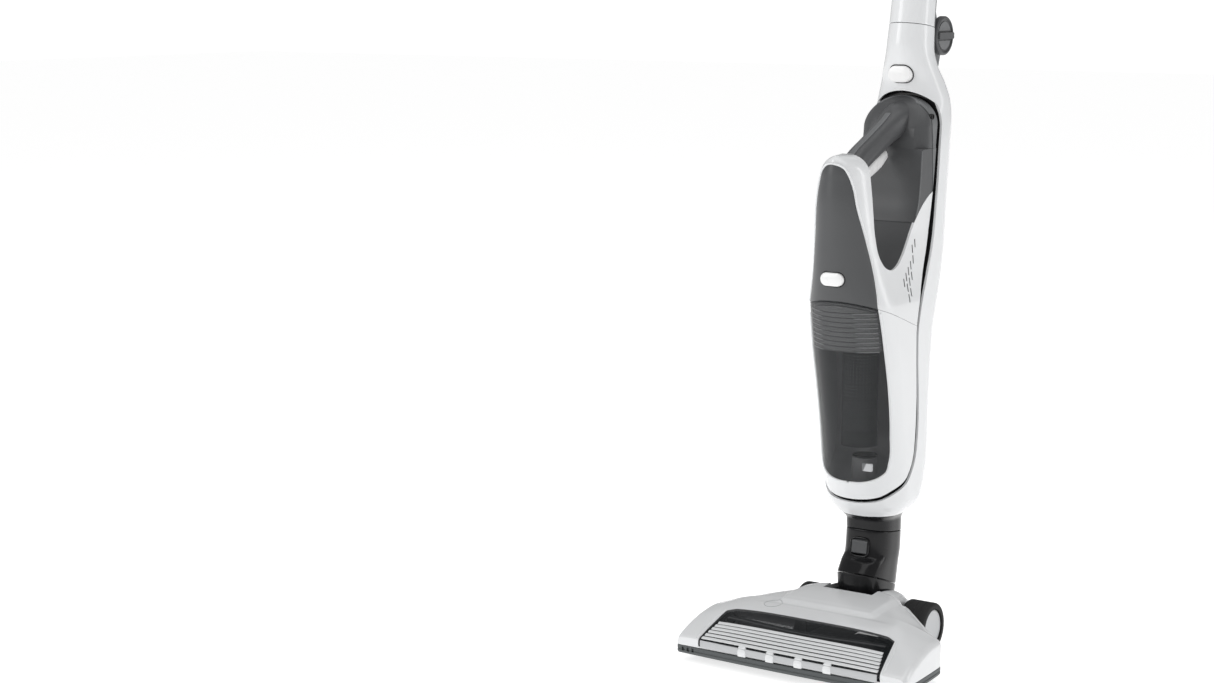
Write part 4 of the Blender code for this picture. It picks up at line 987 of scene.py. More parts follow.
# Height, half width, front, where the side starts and ends, back, lean of the level
FRAME_LEVELS = [
    (142.5, 33.0, -28.5, 0.0, 8.0, 40.0, 0.0), (147, 38.5, -32.5, 0.0, 10.0, 43.5, 0.0),
    (153, 43.5, -37.5, 0.0, 12.0, 46.0, 0.0), (161, 46.5, -42.5, 0.0, 15.0, 50.0, 0.0),
    (175, 47.0, -47.0, -2.0, 20.0, 55.5, 0.0), (200, 47.0, -54.0, -8.0, 27.0, 59.5, 0.0),
    (262, 47.0, -66.0, -18.0, 29.0, 60.0, 0.0), (330, 47.4, -79.0, -30.0, 34.0, 63.0, 0.0),
    (355, 47.4, -60.0, -20.0, 41.0, 68.5, 0.0), (390, 46.8, -40.0, -5.0, 52.0, 80.0, 0.0),
    (425, 45.6, -20.0, 12.0, 60.0, 88.5, 0.0), (471, 44.0, 0.0, 25.0, 67.0, 95.0, 0.0),
    (520, 42.4, 18.0, 40.0, 75.0, 104.0, 0.0), (550, 40.8, 38.0, 70.0, 81.0, 109.0, 0.0),
    (568, 38.4, 52.0, 78.0, 82.0, 108.0, 0.0), (585, 33.2, 52.0, 74.0, 81.0, 106.0, -0.05),
    (605, 27.4, 46.0, 70.0, 72.0, 98.0, -0.10), (622, 23.8, 44.5, 69.0, 70.0, 95.5, -SEAM_LEAN),
]
REAR_PANEL = [(34, 196), (37, 260), (37, 380), (34, 470), (29, 540), (21, 592), (15.5, 622)]


def tube_row(z, half, front_depth, back_depth):
    """A level of the leaning tube, square to its axis."""
    middle = 72.0 + SEAM_LEAN * (z - FOLD_SEAM)
    return (z, half, middle - front_depth, middle - 0.5, middle + 0.5, middle + back_depth, -SEAM_LEAN)


def levels_form(name, table, inset=0.0, edge=0.0, rows=160):
    """A solid through levels: half an ellipse in front and half a superellipse behind.

    Where edge is over 0 both ends are drawn in by a quarter circle of that radius.
    """
    table = np.asarray(table, float)
    z = np.linspace(table[0, 0], table[-1, 0], rows)
    draw = np.zeros(rows)
    if edge:
        turn = np.linspace(0, pi / 2, 7)[:-1]
        rim, shrink = edge * (1 - np.cos(turn)), edge * (1 - np.sin(turn))
        z = np.concatenate([z[0] + rim, np.linspace(z[0] + edge, z[-1] - edge, rows), (z[-1] - rim)[::-1]])
        draw = np.concatenate([shrink, draw, shrink[::-1]])
    half, front, start, stop, back, lean = through(table, z, overshoot=False).T[:, :, None]
    draw = draw[:, None] + inset
    half, front, back, z = half - draw, front + draw, back - draw, z[:, None]
    turn = np.linspace(0, pi, 41)
    across, along = superellipse(turn, 2.3)
    x = np.hstack([-half * np.cos(turn), half * across])
    y = np.hstack([start - (start - front) * np.sin(turn), stop + (back - stop) * along])
    return stacked(name, np.stack([x, y, z + lean * (y - (start + stop) / 2)], axis=2))


def frame_front(x, z):
    """Y of the upright's rounded front, by the same half ellipse as its levels."""
    half, front, start, _, _, _ = through(FRAME_LEVELS, z, overshoot=False).T
    return start - (start - front) * np.sqrt(np.clip(1 - (x / half) ** 2, 0, 1))


def frame_form(name, inset=0.0, top=FOLD_SEAM - GAP, bottom=0.0):
    table = [*FRAME_LEVELS, tube_row(top, 22.4, 25.0, 25.5)]
    return levels_form(name, [row for row in table if row[0] > bottom], inset)


def bay_form(name, offset):
    """The room that the hand unit takes out of the frame, with an arched top."""
    line = shifted(GAP_LINE, -offset)
    bay = extruded(name, [*line, (line[-1][0], 620), (-150, 620), (-150, line[0][1])], "YZ", -80, 80)
    middle, half, rise = HEAD_CROWN
    turn = np.linspace(0, pi / 2, 40)[1:]
    right = np.vstack([[(60, 100), (60, 505), (half + offset + 1, 541)], np.column_stack(
        [(half + offset) * np.cos(turn), middle + (rise + offset) * np.sin(turn)])])
    arch = np.vstack([right, right[:-1][::-1] * (-1, 1)])
    return shape(bay, *kept(extruded(name + "_arch", arch, "XZ", -160, 130)))


def panel_form(name, inset):
    """The room of the panel let into the frame's back."""
    right = curve(REAR_PANEL, 60) - (inset, 0)
    right[0, 1] += inset
    full = np.vstack([[(0, right[0, 1] - 6), (22 - inset, right[0, 1] - 4)], right, [(right[-1, 0], 660)]])
    outline = np.vstack([full, full[1:][::-1] * (-1, 1)])
    room = extruded(name, outline, "XZ", 30, 210)
    depth = [(40, 150), (40, 556), (78, 574), (82, 700), (200, 700), (200, 150)]
    return shape(room, *kept(extruded(name + "_depth", depth, "YZ", -70, 70)))


def duct_form(name, radius, start=92.0):
    path = [(0, DUCT_Y, start), (0, DUCT_Y, 126), (0, 4, 142), (0, -4, 157), (0, INLET_Y, 174),
            (0, -25, 192)]
    return swept(name, curve(path, 40), (radius, radius), (1, 0, 0), 48)


class VACUUM_OT_neck(Piece, bpy.types.Operator):
    """The tilting yoke, the swivel on it, its release button and the collar above"""

    bl_idname = "vacuum.neck"
    bl_label = "Neck"

    def execute(self, context):
        slope = SWIVEL_SLOPE
        yoke = bands("yoke", [
            (34.0, 23.0, -30.0, 22.0, 2.6, 0.0, -4.0), (50.0, 24.0, -38.0, 27.0, 2.8, slope * 0.6, -5.0),
            (SWIVEL_Z - GAP, 25.0, -40.0, 30.0, 3.0, slope, SWIVEL_Y),
        ], edge=0.9)
        drum = rod_form("drum", -CHEEK_IN + 0.6, CHEEK_IN - 0.6, 20.0, (0, -2, 32), steps=96)
        bore = rod_form("bore", 20, 120, DUCT_R - 2.0, (0, -4, 0), "Z")
        shape(yoke, *added(drum), *cut(bore))
        piece(yoke, "neck_yoke_moulding", "neck_yoke", "gloss_black", ["neck_yoke"])
        swivel = bands("swivel", [
            (SWIVEL_Z + GAP, 25.0, -40.0, 30.0, 3.0, slope, SWIVEL_Y),
            (88.0, 25.0, -31.0, 34.0, 3.0, slope * 0.4, 2.0), (100.0, 25.0, -22.0, 37.0, 3.0, 0.0, 8.0),
            (NECK_TOP, 25.0, -18.5, 38.0, 3.0, -SEAM_LEAN, 9.7),
        ], edge=0.9, rows=40)
        socket = rod_form("socket", 88, 140, DUCT_R + GAP, (0, DUCT_Y, 0), "Z")
        passage = rod_form("passage", 40, 100, DUCT_R - 2.4, (0, 2, 0), "Z")
        pocket = box_form("pocket", (-9.4, -40, 98.6), (9.4, -8.0, 116.4))
        shape(swivel, *cut(socket, passage, pocket))
        piece(swivel, "neck_swivel_moulding", "neck_swivel", "gloss_black", ["neck_swivel"])
        turn = np.linspace(0, 2 * pi, 80, endpoint=False)
        across, up = superellipse(turn, 4.0)
        z = 107.4 + 9.6 * up
        path = np.column_stack([10.2 * across, -22.6 + (z - 98) * 0.16 - 0.2, z])
        frame_ring = swept("surround", path, (1.3, 1.1), (0, 1, 0), 12, closed=True)
        piece(frame_ring, "neck_button_surround", "neck_swivel", "gloss_black")
        outline = rounded([(-18.4, 99.0), (-11.0, 99.0), (-11.0, 116.0), (-16.4, 116.0), (-21.6, 114.0),
                           (-23.4, 101.0)], 1.4, 6)
        button = extruded("button", outline, "YZ", -8.8, 8.8)
        piece(button, "neck_button_face", "neck_button", "gloss_black", ["neck_release_button"],
              "dark_cover")
        collar = bands("collar", [
            (NECK_TOP + GAP, 25.0, -18.5, 38.0, 3.0, -SEAM_LEAN, 9.7),
            (133.0, 25.2, -19.0, 38.0, 3.0, -SEAM_LEAN / 2, 9.7),
            (142.5 - GAP, 31.0, -26.0, 38.5, 2.5, 0.0, 6.0),
        ], edge=0.8, rows=30)
        shape(collar, *cut(duct_form("way", DUCT_R + GAP, 80.0)))
        piece(collar, "frame_collar_skirt", "frame", "gloss_black", ["frame_collar"])
        return self.done()


class VACUUM_OT_frame(Piece, bpy.types.Operator):
    """The upright's white shell and the ribbed panel let into its back"""

    bl_idname = "vacuum.frame"
    bl_label = "Upright frame"

    def execute(self, context):
        hollow = frame_form("hollow", WALL, FOLD_SEAM + 20, 150)
        bay = bay_form("bay", 4.8)
        outline = stadium(13.6, 9.2) + (0, HAND_BUTTON_Z)
        button_hole = extruded("button_hole", outline, "XZ", 20, 62)
        way = duct_form("way", DUCT_R + GAP, 80.0)
        shell = shape(frame_form("shell"),
                      *cut(hollow, bay, panel_form("panel_hole", 0.0), way, button_hole))
        piece(shell, "frame_white_shell", "frame", "white", ["frame_shell"])
        ribs = [box_form("rib", (-30, 40, z), (30, 200, z + 1.1)) for z in np.linspace(300, 460, 17)]
        skin = frame_form("skin", 0.7)
        ribs = shape(together("ribs", ribs), *cut(skin))
        cover = frame_form("cover")
        shape(cover, *cut(hollow, bay), *kept(panel_form("panel", GAP)), *cut(ribs))
        piece(cover, "frame_rear_panel", "frame", "mid_grey", ["frame_rear_cover"])
        return self.done()


class VACUUM_OT_buttons(Piece, bpy.types.Operator):
    """The white buttons on the upright and over the bin, each with a thin black ring round it: painted shade
    in the gap round the button
    """

    bl_idname = "vacuum.buttons"
    bl_label = "Buttons"

    def execute(self, context):
        button = pushbutton("button", HAND_BUTTON_Z, 13.0, 8.6, 45.2, 56)
        piece(button, "hand_release_face", "hand_release", "button_white", ["hand_release_button"])
        button = pushbutton("button", BUTTON_Z, 12.6, 6.8, -93.2, -81)
        piece(button, "bin_release_face", "bin_release", "button_white", ["bin_release_button"])
        # A thin gloss-black ring laid along the rim of each button's hole: painted shade in the gap round
        # the button.
        for name, body, height, size, front in (
            ("hand_button_edge", "frame", HAND_BUTTON_Z, (13.7, 9.3), frame_front),
            ("bin_button_edge", "hand_unit", BUTTON_Z, (13.3, 7.5), nose_front),
        ):
            x, z = (stadium(*size) + (0, height)).T
            path = np.column_stack([x, front(x, z) - 0.05, z])
            ring = swept("ring", path, (0.45, 0.45), (0, 1, 0), 10, closed=True)
            piece(ring, name, body, "gloss_black")
        return self.done()


class VACUUM_OT_handle(Piece, bpy.types.Operator):
    """The upper tube in two halves, its grip, its end cap and the folding joint"""

    bl_idname = "vacuum.handle"
    bl_label = "Folding handle"

    def back_half(self, name, offset):
        line = [(81.0 + offset + SEAM_LEAN * (z - FOLD_SEAM), z) for z in (560.0, 1150.0)]
        return extruded(name, [*line, (300, 1150), (300, 560)], "YZ", -60, 60)

    def execute(self, context):
        tube = [tube_row(z, half, depth, depth + 0.5) for z, half, depth in (
            (FOLD_SEAM + GAP, 22.4, 25.0), (700, 21.5, 24.0), (820, 19.5, 21.5), (930, 18.0, 19.5))]
        hollow_rows = [tube_row(FOLD_SEAM - 15, 22.4, 25.0, 25.5), *tube[1:-1],
                       tube_row(950, 18.0, 19.5, 20.0)]
        hollow = levels_form("hollow", hollow_rows, WALL)
        front = levels_form("front", tube, edge=0.5)
        shape(front, *cut(hollow, self.back_half("rear", -0.2)))
        piece(front, "handle_front_tube", "handle", "white", ["handle_front_shell"])
        room = rod_form("room", -30, 40, 19.5, (0, FOLD_Y, FOLD_Z), steps=96)
        back = levels_form("back", tube, edge=0.5)
        shape(back, *kept(self.back_half("half", 0.2)), *cut(hollow, room))
        piece(back, "handle_rear_tube", "handle", "mid_grey", ["handle_rear_shell"])

        grip_rows = [tube_row(z, half, depth, back) for z, half, depth, back in (
            (930 + 2 * GAP, 18.4, 19.9, 20.4), (965, 18.8, 20.0, 22.5), (1010, 18.6, 20.0, 26.5),
            (1055, 18.0, 19.6, 31.0), (HANDLE_TOP - 14, 17.0, 19.0, 35.7))]
        grip = levels_form("grip", grip_rows, edge=0.8)
        ridges = []
        for z in np.linspace(956, 1064, 19):
            y = 72 + SEAM_LEAN * (z - FOLD_SEAM)
            ridges.append(box_form("ridge", (-30, y - 40, z), (30, y - 4, z + 1.6)))
        grooves = shape(together("ridges", ridges), *cut(levels_form("core", grip_rows, 0.8)))
        shape(grip, *cut(grooves))
        piece(grip, "handle_ribbed_grip", "handle", "dark_cover", ["handle_grip"])
        cap_rows = [tube_row(z, half, depth, back) for z, half, depth, back in (
            (HANDLE_TOP - 14 + 2 * GAP, 17.0, 19.0, 35.7), (HANDLE_TOP - 9, 16.6, 18.6, 35.3),
            (HANDLE_TOP - 5, 14.6, 16.6, 33.6), (HANDLE_TOP - 2.6, 11.6, 13.6, 30.4),
            (HANDLE_TOP - 1.8, 7.5, 9.5, 26.0))]
        cap = levels_form("cap", cap_rows, rows=40)
        piece(cap, "handle_round_cap", "handle", "mid_grey", ["handle_end_cap"])
        self.knob()
        return self.done()

    def knob(self):
        """A dial with a raised bar between two D-shaped recesses."""
        centre = (0, FOLD_Y, FOLD_Z)
        profile = rounded([(10.6, 0.0), (10.6, 16.0), (11.6, KNOB_R), (16.6, KNOB_R), (17.9, KNOB_R - 1.4),
                           (17.9, 17.6), (16.2, 16.9), (16.2, 13.4), (15.8, 13.2), (15.8, 12.6),
                           (16.2, 12.4), (16.2, 0.0)], 0.5)
        knob = turned("knob", profile, centre, "X", 128)
        bar = rounded([(FOLD_Y - 16.8, FOLD_Z - 3.4), (FOLD_Y + 16.8, FOLD_Z - 3.4),
                       (FOLD_Y + 16.8, FOLD_Z + 3.4), (FOLD_Y - 16.8, FOLD_Z + 3.4)], 1.6, 6)
        shape(knob, *added(extruded("bar", bar, "YZ", 14, 20.0)))
        piece(knob, "fold_knob_dial", "knob", "mid_grey", ["fold_knob"], "dark_cover")
        faces = []
        for sign in (-1, 1):
            turn = np.linspace(0.36, pi - 0.36, 40)
            arc = np.column_stack([FOLD_Y + 14.6 * np.cos(turn), FOLD_Z + sign * 14.6 * np.sin(turn)])
            faces.append(extruded("face", arc[::sign], "YZ", 15.8, 16.9))
        piece(together("faces", faces), "fold_knob_faces", "knob", "mid_grey")


# ---------------------------------------------------------------- hand unit and bin


class VACUUM_OT_hand_shell(Piece, bpy.types.Operator):
    """The hand unit's white shell with its vents, and the raised trim round the front"""

    bl_idname = "vacuum.hand_shell"
    bl_label = "Hand unit shell"

    def vents(self, pitch):
        """Staggered slots inside the triangle between the seam and the gap."""
        found = []
        for i, y in enumerate(np.arange(-15.5, 24.0, pitch)):
            foot = np.interp(y, [-20, -6, 25], [383, 357, 449]) + 2
            head = np.interp(y, [-20, 25], [387, 453])
            for z in np.arange(330 + (i % 2) * 5.4, 455, 10.8):
                if foot < z and z + 8.4 < head:
                    found.append(box_form("vent", (-60, y - 1.0, z), (60, y + 1.0, z + 8.4)))
        return together("vents", found)

    def execute(self, context):
        sizes = context.scene.vacuum_sizes
        line = WHITE_LINE[1:]
        outline = [(OPENING_LINE[0][0], 660), *OPENING_LINE, *line, (line[-1][0], 660)]
        opening = extruded("opening", outline, "YZ", -80, 80)
        side = front_of_gap("side")
        shell = shape(
            hand_form("shell"), *kept(side, seam_half("above", True, 0.2)),
            *cut(hand_form("inside", WALL), opening, face_form("face", 0.0, -35),
                 self.vents(sizes.vent_pitch)))
        piece(shell, "hand_white_shell", "hand_unit", "white", ["hand_shell"])

        # A gloss-black fill set into every vent slot, 0.45 mm under the shell's outside: painted shade for
        # the dark inside seen through the vents.
        vent_shade_fill = shape(self.vents(sizes.vent_pitch), *kept(hand_form("skin", 0.45)),
                       *cut(hand_form("core", WALL + 0.4)))
        piece(vent_shade_fill, "vent_grille", "hand_unit", "dark_cover", finish="gloss_black")
        self.trim("trim_band_upper", "hand_unit", True)
        self.trim("trim_band_lower", "bin", False)
        return self.done()

    def trim(self, name, body, upper):
        """A rounded white lip along the edge of the front opening."""
        x, z = FACE_LINE.T
        y = nose_front(x, z)
        inside = z > seam_z(y) + 1.0 if upper else z < seam_z(y) - 1.0
        x, y, z = x[inside], y[inside], z[inside]
        x = x + 1.1 * smoothstep(0, 12, x)
        right = np.column_stack([x, nose_front(x, z) - 0.15, z])
        left = right[::-1] * (-1, 1, 1)
        path = np.vstack([left[:-1], right]) if upper else np.vstack([right, left[1:]])
        lip = swept("lip", curve(path[::3], 160), (1.35, 1.25), (1, 0, 0), 16)
        piece(lip, name, body, "white")


class VACUUM_OT_front_cover(Piece, bpy.types.Operator):
    """The dark cover on the column's front, with the hole for the bin button"""

    bl_idname = "vacuum.front_cover"
    bl_label = "Front cover"

    def execute(self, context):
        outline = stadium(13.2, 7.4) + (0, BUTTON_Z)
        cover = shape(
            hand_form("cover"), *kept(seam_half("above", True, 0.2), face_form("face", GAP, -40)),
            *cut(hand_form("inside", WALL), extruded("hole", outline, "XZ", -120, -60)))
        piece(cover, "front_cover_face", "hand_unit", "dark_cover", ["front_cover"])
        return self.done()


class VACUUM_OT_housing(Piece, bpy.types.Operator):
    """The dark spine with the carrying handle, its strip, side band, trigger and socket"""

    bl_idname = "vacuum.housing"
    bl_label = "Hand unit housing"

    def execute(self, context):
        back = shifted(WHITE_LINE, GAP)
        region = [*back[1:], (70, 600), *SPINE_LINE[::-1]]
        side = front_of_gap("side")
        spine = shape(hand_form("spine"), *kept(extruded("region", region, "YZ", -80, 80), side))
        line = np.vstack([OPENING_LINE, SPINE_LINE[1:18]])
        floor_band = [*shifted(line, -0.8), *shifted(line, -3.4)[::-1]]
        floor = shape(extruded("floor", floor_band, "YZ", -80, 80), *kept(hand_form("slim", WALL + GAP)))
        path = np.array([(0, -64, 499.5), (0, -40, 513), (0, -10, 526), (0, 20, 539), (0, 40, 547),
                         (0, 60, 551)], float)
        sections = through([(0, 13, 12), (0.2, 13.2, 12.6), (0.45, 13.4, 12.8), (0.7, 14.6, 13.8),
                            (0.87, 19, 17), (1, 25, 20)], np.linspace(0, 1, 60))
        grip = swept("grip", curve(path, 60), sections, (1, 0, 0), 72)
        band_room = extruded("band_room", [(46.4, 468), (90, 478), (90, 620), (46.4, 620)], "YZ", -80, 80)
        rebate = shape(band_room, *cut(hand_form("band_core", 1.3)))
        trigger_room = [(-57, 478), (-49, 499), (-42, 506), (-12, 515), (13, 525.5), (21, 521), (21, 500)]
        pocket = extruded("pocket", [(31, 484), (32, 519), (36, 538), (75, 538), (75, 484)], "YZ", -37, 37)
        shape(pocket, *kept(hand_form("pocket_trim", WALL)))
        shape(spine, *added(floor, grip), *cut(
            pocket, rebate,
            extruded("slot", trigger_room, "YZ", -6.4, 6.4),
            rod_form("socket_hole", 33, 60, 3.4, (0, 50, 553))))
        piece(spine, "hand_dark_housing", "hand_unit", "dark_cover", ["hand_housing"])

        side_band = shape(
            hand_form("side_band", 0.1), *cut(hand_form("side_core", 1.2)),
            *kept(extruded("band", [(48.0, 470), (90, 480), (90, 620), (48.0, 620)], "YZ", -80, 80),
                  front_of_gap("band_side"), extruded("above", region, "YZ", -80, 80)))
        piece(side_band, "hand_side_band", "hand_unit", "mid_grey")
        self.rim()
        ridge = curve(path, 60)
        run = np.gradient(ridge, axis=0)
        run /= np.linalg.norm(run, axis=1)[:, None]
        up = np.column_stack([np.zeros(60), -run[:, 2], run[:, 1]]) * sections[:, 1:]
        strip = swept("strip", (ridge + up)[6:46], (3.0, 0.8), (1, 0, 0), 20, power=3.0)
        piece(strip, "handle_raised_strip", "hand_unit", "mid_grey")

        lever = curve([(0, -60.5, 470.5), (0, -52, 483), (0, -42, 491.5), (0, -16, 502.5), (0, 2, 509.5),
                       (0, 14, 515)], 70)
        thick = through([(0, 3.4, 1.4), (0.15, 4.6, 2.6), (0.35, 5.6, 5.4), (0.55, 5.9, 7.2),
                         (0.85, 5.9, 7.2), (1, 5.0, 5.4)], np.linspace(0, 1, 70))
        trigger = swept("trigger", lever, thick, (1, 0, 0), 40, power=2.8)
        piece(trigger, "trigger_lever", "trigger", "button_white", ["trigger"])

        profile = rounded([(34, 0), (34, 3.0), (38.2, 3.0), (38.2, 1.9), (36.2, 1.7), (36.2, 0.9),
                           (37.8, 0.7), (37.8, 0)], 0.3)
        socket = turned("socket", profile, (0, 50, 553), "X", 48)
        piece(socket, "charging_socket_ring", "hand_unit", "gloss_black", ["charging_socket"])
        return self.done()

    def rim(self):
        """A fine raised line along the finger opening's edge at each side."""
        y, z = SPINE_LINE[SPINE_LINE[:, 1] <= COLUMN_TOP + COLUMN_RISE][2:].T
        nose, side, _, start = hand_rows(z).T
        half = np.maximum(nose + (side - nose) * (y - start) / (HAND_BACK - start), WAIST)
        rims = []
        for sign in (-1, 1):
            path = np.column_stack([sign * (half - 0.5), y - 0.1, z])
            rims.append(swept("rim", path, (0.7, 0.7), (1, 0, 0), 10))
        piece(together("rims", rims), "opening_rim_line", "hand_unit", "mid_grey")


class VACUUM_OT_bin(Piece, bpy.types.Operator):
    """The dust bin: its shell and window, the frosted band, ring lines, tab and catch"""

    bl_idname = "vacuum.bin"
    bl_label = "Dust bin"

    def execute(self, context):
        below = seam_half("below", False, -0.2)
        side = front_of_gap("side")
        cavity = shape(hand_form("cavity", WALL), *kept(front_of_gap("inner", WALL)))
        shell = shape(hand_form("shell"), *kept(below, side), *cut(cavity, face_form("face", 0.0, -30)))
        wall = turned("wall", [(176, 13.5), (203, 13.5), (203, 11.5), (176, 11.5)], (0, INLET_Y, 0), "Z", 64)
        shape(wall, *kept(front_of_gap("foot", 0.4)))
        shape(shell, *added(wall), *cut(rod_form("inlet", 150, 230, 10.6, (0, INLET_Y, 0), "Z")))
        piece(shell, "bin_white_shell", "bin", "white", ["bin_shell"])

        window = shape(hand_form("window"), *kept(below, face_form("face", GAP, -33)),
                       *cut(hand_form("inside", WALL)))
        piece(window, "bin_clear_window", "bin", "smoked_clear", ["bin_window"])

        lines = []
        for z in np.linspace(322, 362, 9):
            x = np.linspace(-37.0, 37.0, 50)
            y = nose_front(x, np.full(50, z)) + WALL + 0.6
            lines.append(swept("line", np.column_stack([x, y, np.full(50, z)]), (0.5, 0.35), (0, 0, 1), 8))
        piece(together("lines", lines), "bin_ring_lines", "bin", "light_grey")
        frosted = shape(
            hand_form("frosted", WALL + 1.0), *cut(hand_form("frosted_core", WALL + 2.0)),
            *kept(face_form("frosted_face", 1.2, -42), seam_half("frosted_top", False, -4.0),
                  box_form("frosted_room", (-60, -120, 322), (60, 0, 400))))
        piece(frosted, "bin_frosted_band", "bin", "white")
        tab = extruded("tab", rounded([(16, 196), (27, 196), (27, 204), (16, 204)], 1.2), "XZ", -50, -47)
        piece(tab, "bin_low_tab", "bin", "light_grey")
        corners = [(-5.5, 352), (5.5, 352), (5.5, 360), (-5.5, 360)]
        catch = extruded("catch", rounded(corners, 1.2), "XZ", -80, -77)
        piece(catch, "bin_square_catch", "bin", "light_grey", ["bin_catch"])
        return self.done()


class VACUUM_OT_filter(Piece, bpy.types.Operator):
    """The filter's cage, with raised hoops and rows of small holes"""

    bl_idname = "vacuum.filter"
    bl_label = "Filter"

    def execute(self, context):
        centre = (0, FILTER_Y, 0)
        z = np.linspace(218, 330, 150)
        hoop = smoothstep(0.86, 0.97, np.cos((z - 218) * 2 * pi / 16.0))
        outer = np.column_stack([z, FILTER_R - 0.4 + 0.4 * hoop])
        profile = np.vstack([[(218, 0)], outer, [(330, FILTER_R - 1.6), (220, FILTER_R - 1.6), (220, 0)]])
        cage = turned("cage", profile, centre, "Z", 128)
        piece(cage, "filter_cage_mesh", "filter", "mid_grey", ["filter_cage"], "filter_cage")
        return self.done()


# ---------------------------------------------------------------- the rest, the stage and the panel

FLOOR_HALF, FLOOR_GLOW = 14.0, 0.68     # metres, and the floor's own light
SKY_ON_OBJECT, SKY_SEEN = 0.34, 1.1     # strength of the sky as light, and as the camera sees it
CAMERA_PLACE, CAMERA_LENS = (1.061, -2.034, 0.694), 65.98
CAMERA_DOWN, CAMERA_ROUND = 9.28, 34.46  # degrees below the horizon, and round from the front


class VACUUM_OT_finishes(Piece, bpy.types.Operator):
    """Finishes for the nodes whose own shape is kept"""

    bl_idname = "vacuum.finishes"
    bl_label = "Finishes"

    def execute(self, context):
        covered = {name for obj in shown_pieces() for name in obj.get("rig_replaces", [])}
        for row in frame["record"]["subparts"]:
            if row["node"] in covered:
                continue
            mesh = frame["nodes"][row["node"]].data
            mesh.materials.clear()
            mesh.materials.append(FINISHES[row["material_slot"]])
        return self.done()


class VACUUM_OT_stage(bpy.types.Operator):
    """A pale floor, soft lights and the camera"""

    bl_idname = "vacuum.stage"
    bl_label = "Stage"

    def light(self, name, place, target, size, power, colour=(1, 1, 1)):
        lamp = bpy.data.lights.new(name, "AREA")
        lamp.shape, lamp.size, lamp.size_y = "RECTANGLE", size[0], size[1]
        lamp.energy, lamp.color = power, colour
        made = bpy.data.objects.new(name, lamp)
        made.location = place
        made.rotation_euler = (Vector(target) - Vector(place)).to_track_quat("-Z", "Y").to_euler()
        bpy.context.scene.collection.objects.link(made)
        return made

    def execute(self, context):
        scene = context.scene
        scene.view_settings.view_transform = "Standard"
        world = bpy.data.worlds.new("studio")
        world.use_nodes = True
        tree = world.node_tree
        sky = tree.nodes["Background"]
        sky.inputs["Color"].default_value = (1, 1, 1, 1)
        seen = tree.nodes.new("ShaderNodeLightPath")
        strength = tree.nodes.new("ShaderNodeMapRange")
        strength.inputs["To Min"].default_value = SKY_ON_OBJECT
        strength.inputs["To Max"].default_value = SKY_SEEN
        tree.links.new(seen.outputs["Is Camera Ray"], strength.inputs["Value"])
        tree.links.new(strength.outputs["Result"], sky.inputs["Strength"])
        scene.world = world

        plain = Paint("studio_floor", (0.9, 0.9, 0.9), 0.9,
                      Emission_Color=(1, 1, 1, 1), Emission_Strength=FLOOR_GLOW)
        corners = [(x * FLOOR_HALF, y * FLOOR_HALF, 0) for x, y in ((-1, -1), (1, -1), (1, 1), (-1, 1))]
        mesh = bpy.data.meshes.new("studio_floor")
        mesh.from_pydata(corners, [], [(0, 1, 2, 3)])
        mesh.materials.append(plain.material)
        ground = bpy.data.objects.new("studio_floor", mesh)
        scene.collection.objects.link(ground)
        lamps = [
            self.light("key", (-1.7, -2.3, 1.7), (0, 0, 0.5), (1.2, 2.2), 27),
            self.light("top", (0.3, -0.3, 3.0), (0, 0, 0.3), (2.4, 2.4), 26),
            self.light("rim", (2.0, 1.1, 1.1), (0, 0, 0.5), (0.5, 2.0), 9),
        ]
        view = bpy.data.cameras.new("camera")
        view.lens, view.sensor_width, view.clip_end = CAMERA_LENS, 36.0, 60.0
        camera = bpy.data.objects.new("camera", view)
        camera.location = CAMERA_PLACE
        camera.rotation_euler = (radians(90 - CAMERA_DOWN), 0, radians(CAMERA_ROUND))
        scene.collection.objects.link(camera)
        scene.camera = camera
        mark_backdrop(ground, camera, *lamps)
        return {"FINISHED"}


class VacuumColours(bpy.types.PropertyGroup):
    """Linear colours of the mouldings"""


class VacuumSizes(bpy.types.PropertyGroup):
    """Sizes and counts that may be changed"""

    window_ribs: IntProperty(
        name="Window ribs", description="Fine ribs on the window's lower half", default=6)
    plateau: FloatProperty(
        name="Plateau", description="Rise of the field before the neck, mm", default=2.0)
    tread: FloatProperty(name="Tread", description="Depth of the tyre's grooves, mm", default=0.5)
    vent_pitch: FloatProperty(name="Vent pitch", description="Spacing of the vents, mm", default=5.6)


def colour(name, text, value):
    return FloatVectorProperty(name=name, description=text, subtype="COLOR", size=3, default=value)


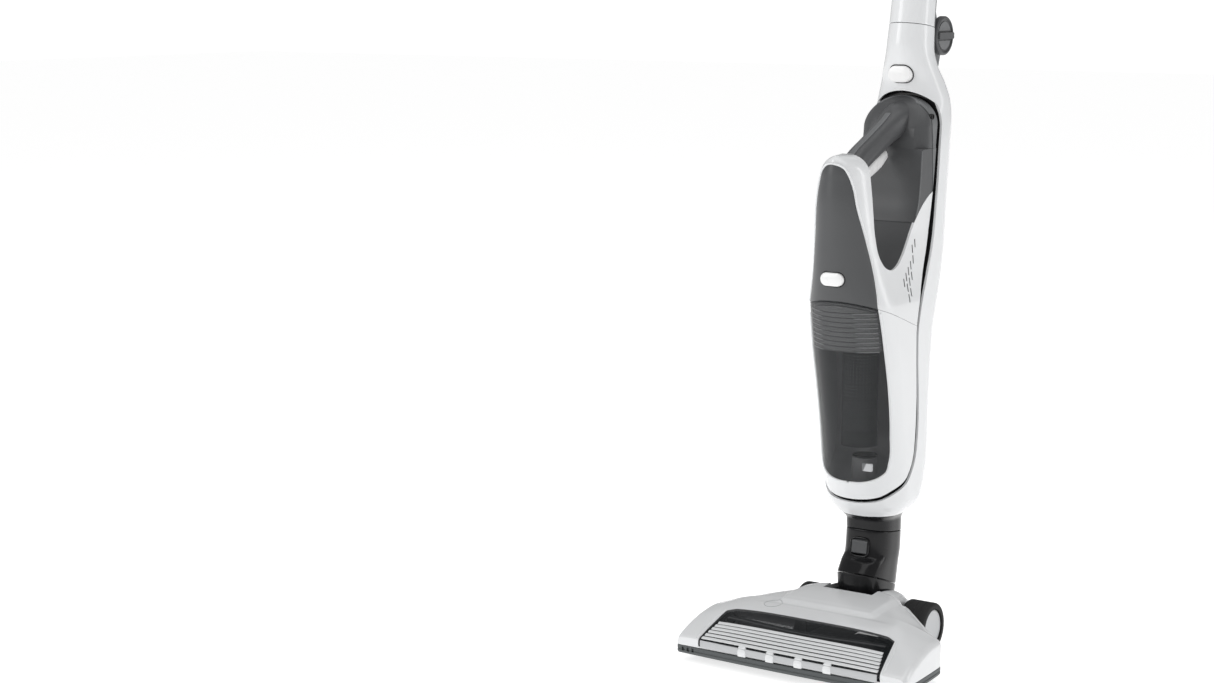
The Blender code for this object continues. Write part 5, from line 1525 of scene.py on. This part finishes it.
VacuumColours.__annotations__ = {
    "shell": colour("Shell", "White shells", (0.80, 0.81, 0.82)),
    "button": colour("Buttons", "White buttons and trigger", (0.90, 0.90, 0.90)),
    "cover": colour("Cover", "Dark cover, housing and grip", (0.085, 0.087, 0.09)),
    "neck": colour("Neck", "Glossy black pieces", (0.012, 0.012, 0.013)),
    "base": colour("Base", "Nozzle base and collar", (0.075, 0.083, 0.085)),
    "middle": colour("Mid grey", "Rear shells, knob and bracket", (0.16, 0.165, 0.17)),
    "hub": colour("Hub", "Hubs, guard and lid", (0.52, 0.53, 0.54)),
    "smoke": colour("Smoke", "Clear smoked plastic", (0.022, 0.024, 0.026)),
    "rubber": colour("Rubber", "Tyres, belt and flap", (0.015, 0.015, 0.015)),
}

OPERATORS = [
    VACUUM_OT_cover, VACUUM_OT_window, VACUUM_OT_base, VACUUM_OT_wheels, VACUUM_OT_brush, VACUUM_OT_neck,
    VACUUM_OT_frame, VACUUM_OT_buttons, VACUUM_OT_handle, VACUUM_OT_hand_shell, VACUUM_OT_front_cover,
    VACUUM_OT_housing, VACUUM_OT_bin, VACUUM_OT_filter, VACUUM_OT_finishes, VACUUM_OT_stage,
]


class VACUUM_PT_panel(bpy.types.Panel):
    """Every operator, in the order in which it is run"""

    bl_idname = "VACUUM_PT_panel"
    bl_label = "Stick vacuum"
    bl_space_type = "VIEW_3D"
    bl_region_type = "UI"
    bl_category = "Stick vacuum"

    def draw(self, context):
        column = self.layout.column()
        for group in (context.scene.vacuum_colours, context.scene.vacuum_sizes):
            for name in group.bl_rna.properties.keys():
                if name not in ("rna_type", "name"):
                    column.prop(group, name)
        for operator in OPERATORS:
            column.operator(operator.bl_idname)


def register():
    for made in (VacuumColours, VacuumSizes, *OPERATORS, VACUUM_PT_panel):
        bpy.utils.register_class(made)
    bpy.types.Scene.vacuum_colours = PointerProperty(type=VacuumColours)
    bpy.types.Scene.vacuum_sizes = PointerProperty(type=VacuumSizes)


def unregister():
    del bpy.types.Scene.vacuum_colours, bpy.types.Scene.vacuum_sizes
    for made in (VACUUM_PT_panel, *reversed(OPERATORS), VacuumSizes, VacuumColours):
        bpy.utils.unregister_class(made)


def main():
    register()
    make_finishes(bpy.context.scene.vacuum_colours)
    for operator in OPERATORS:
        group, name = operator.bl_idname.split(".")
        getattr(getattr(bpy.ops, group), name)()


if __name__ == "__main__":
    main()
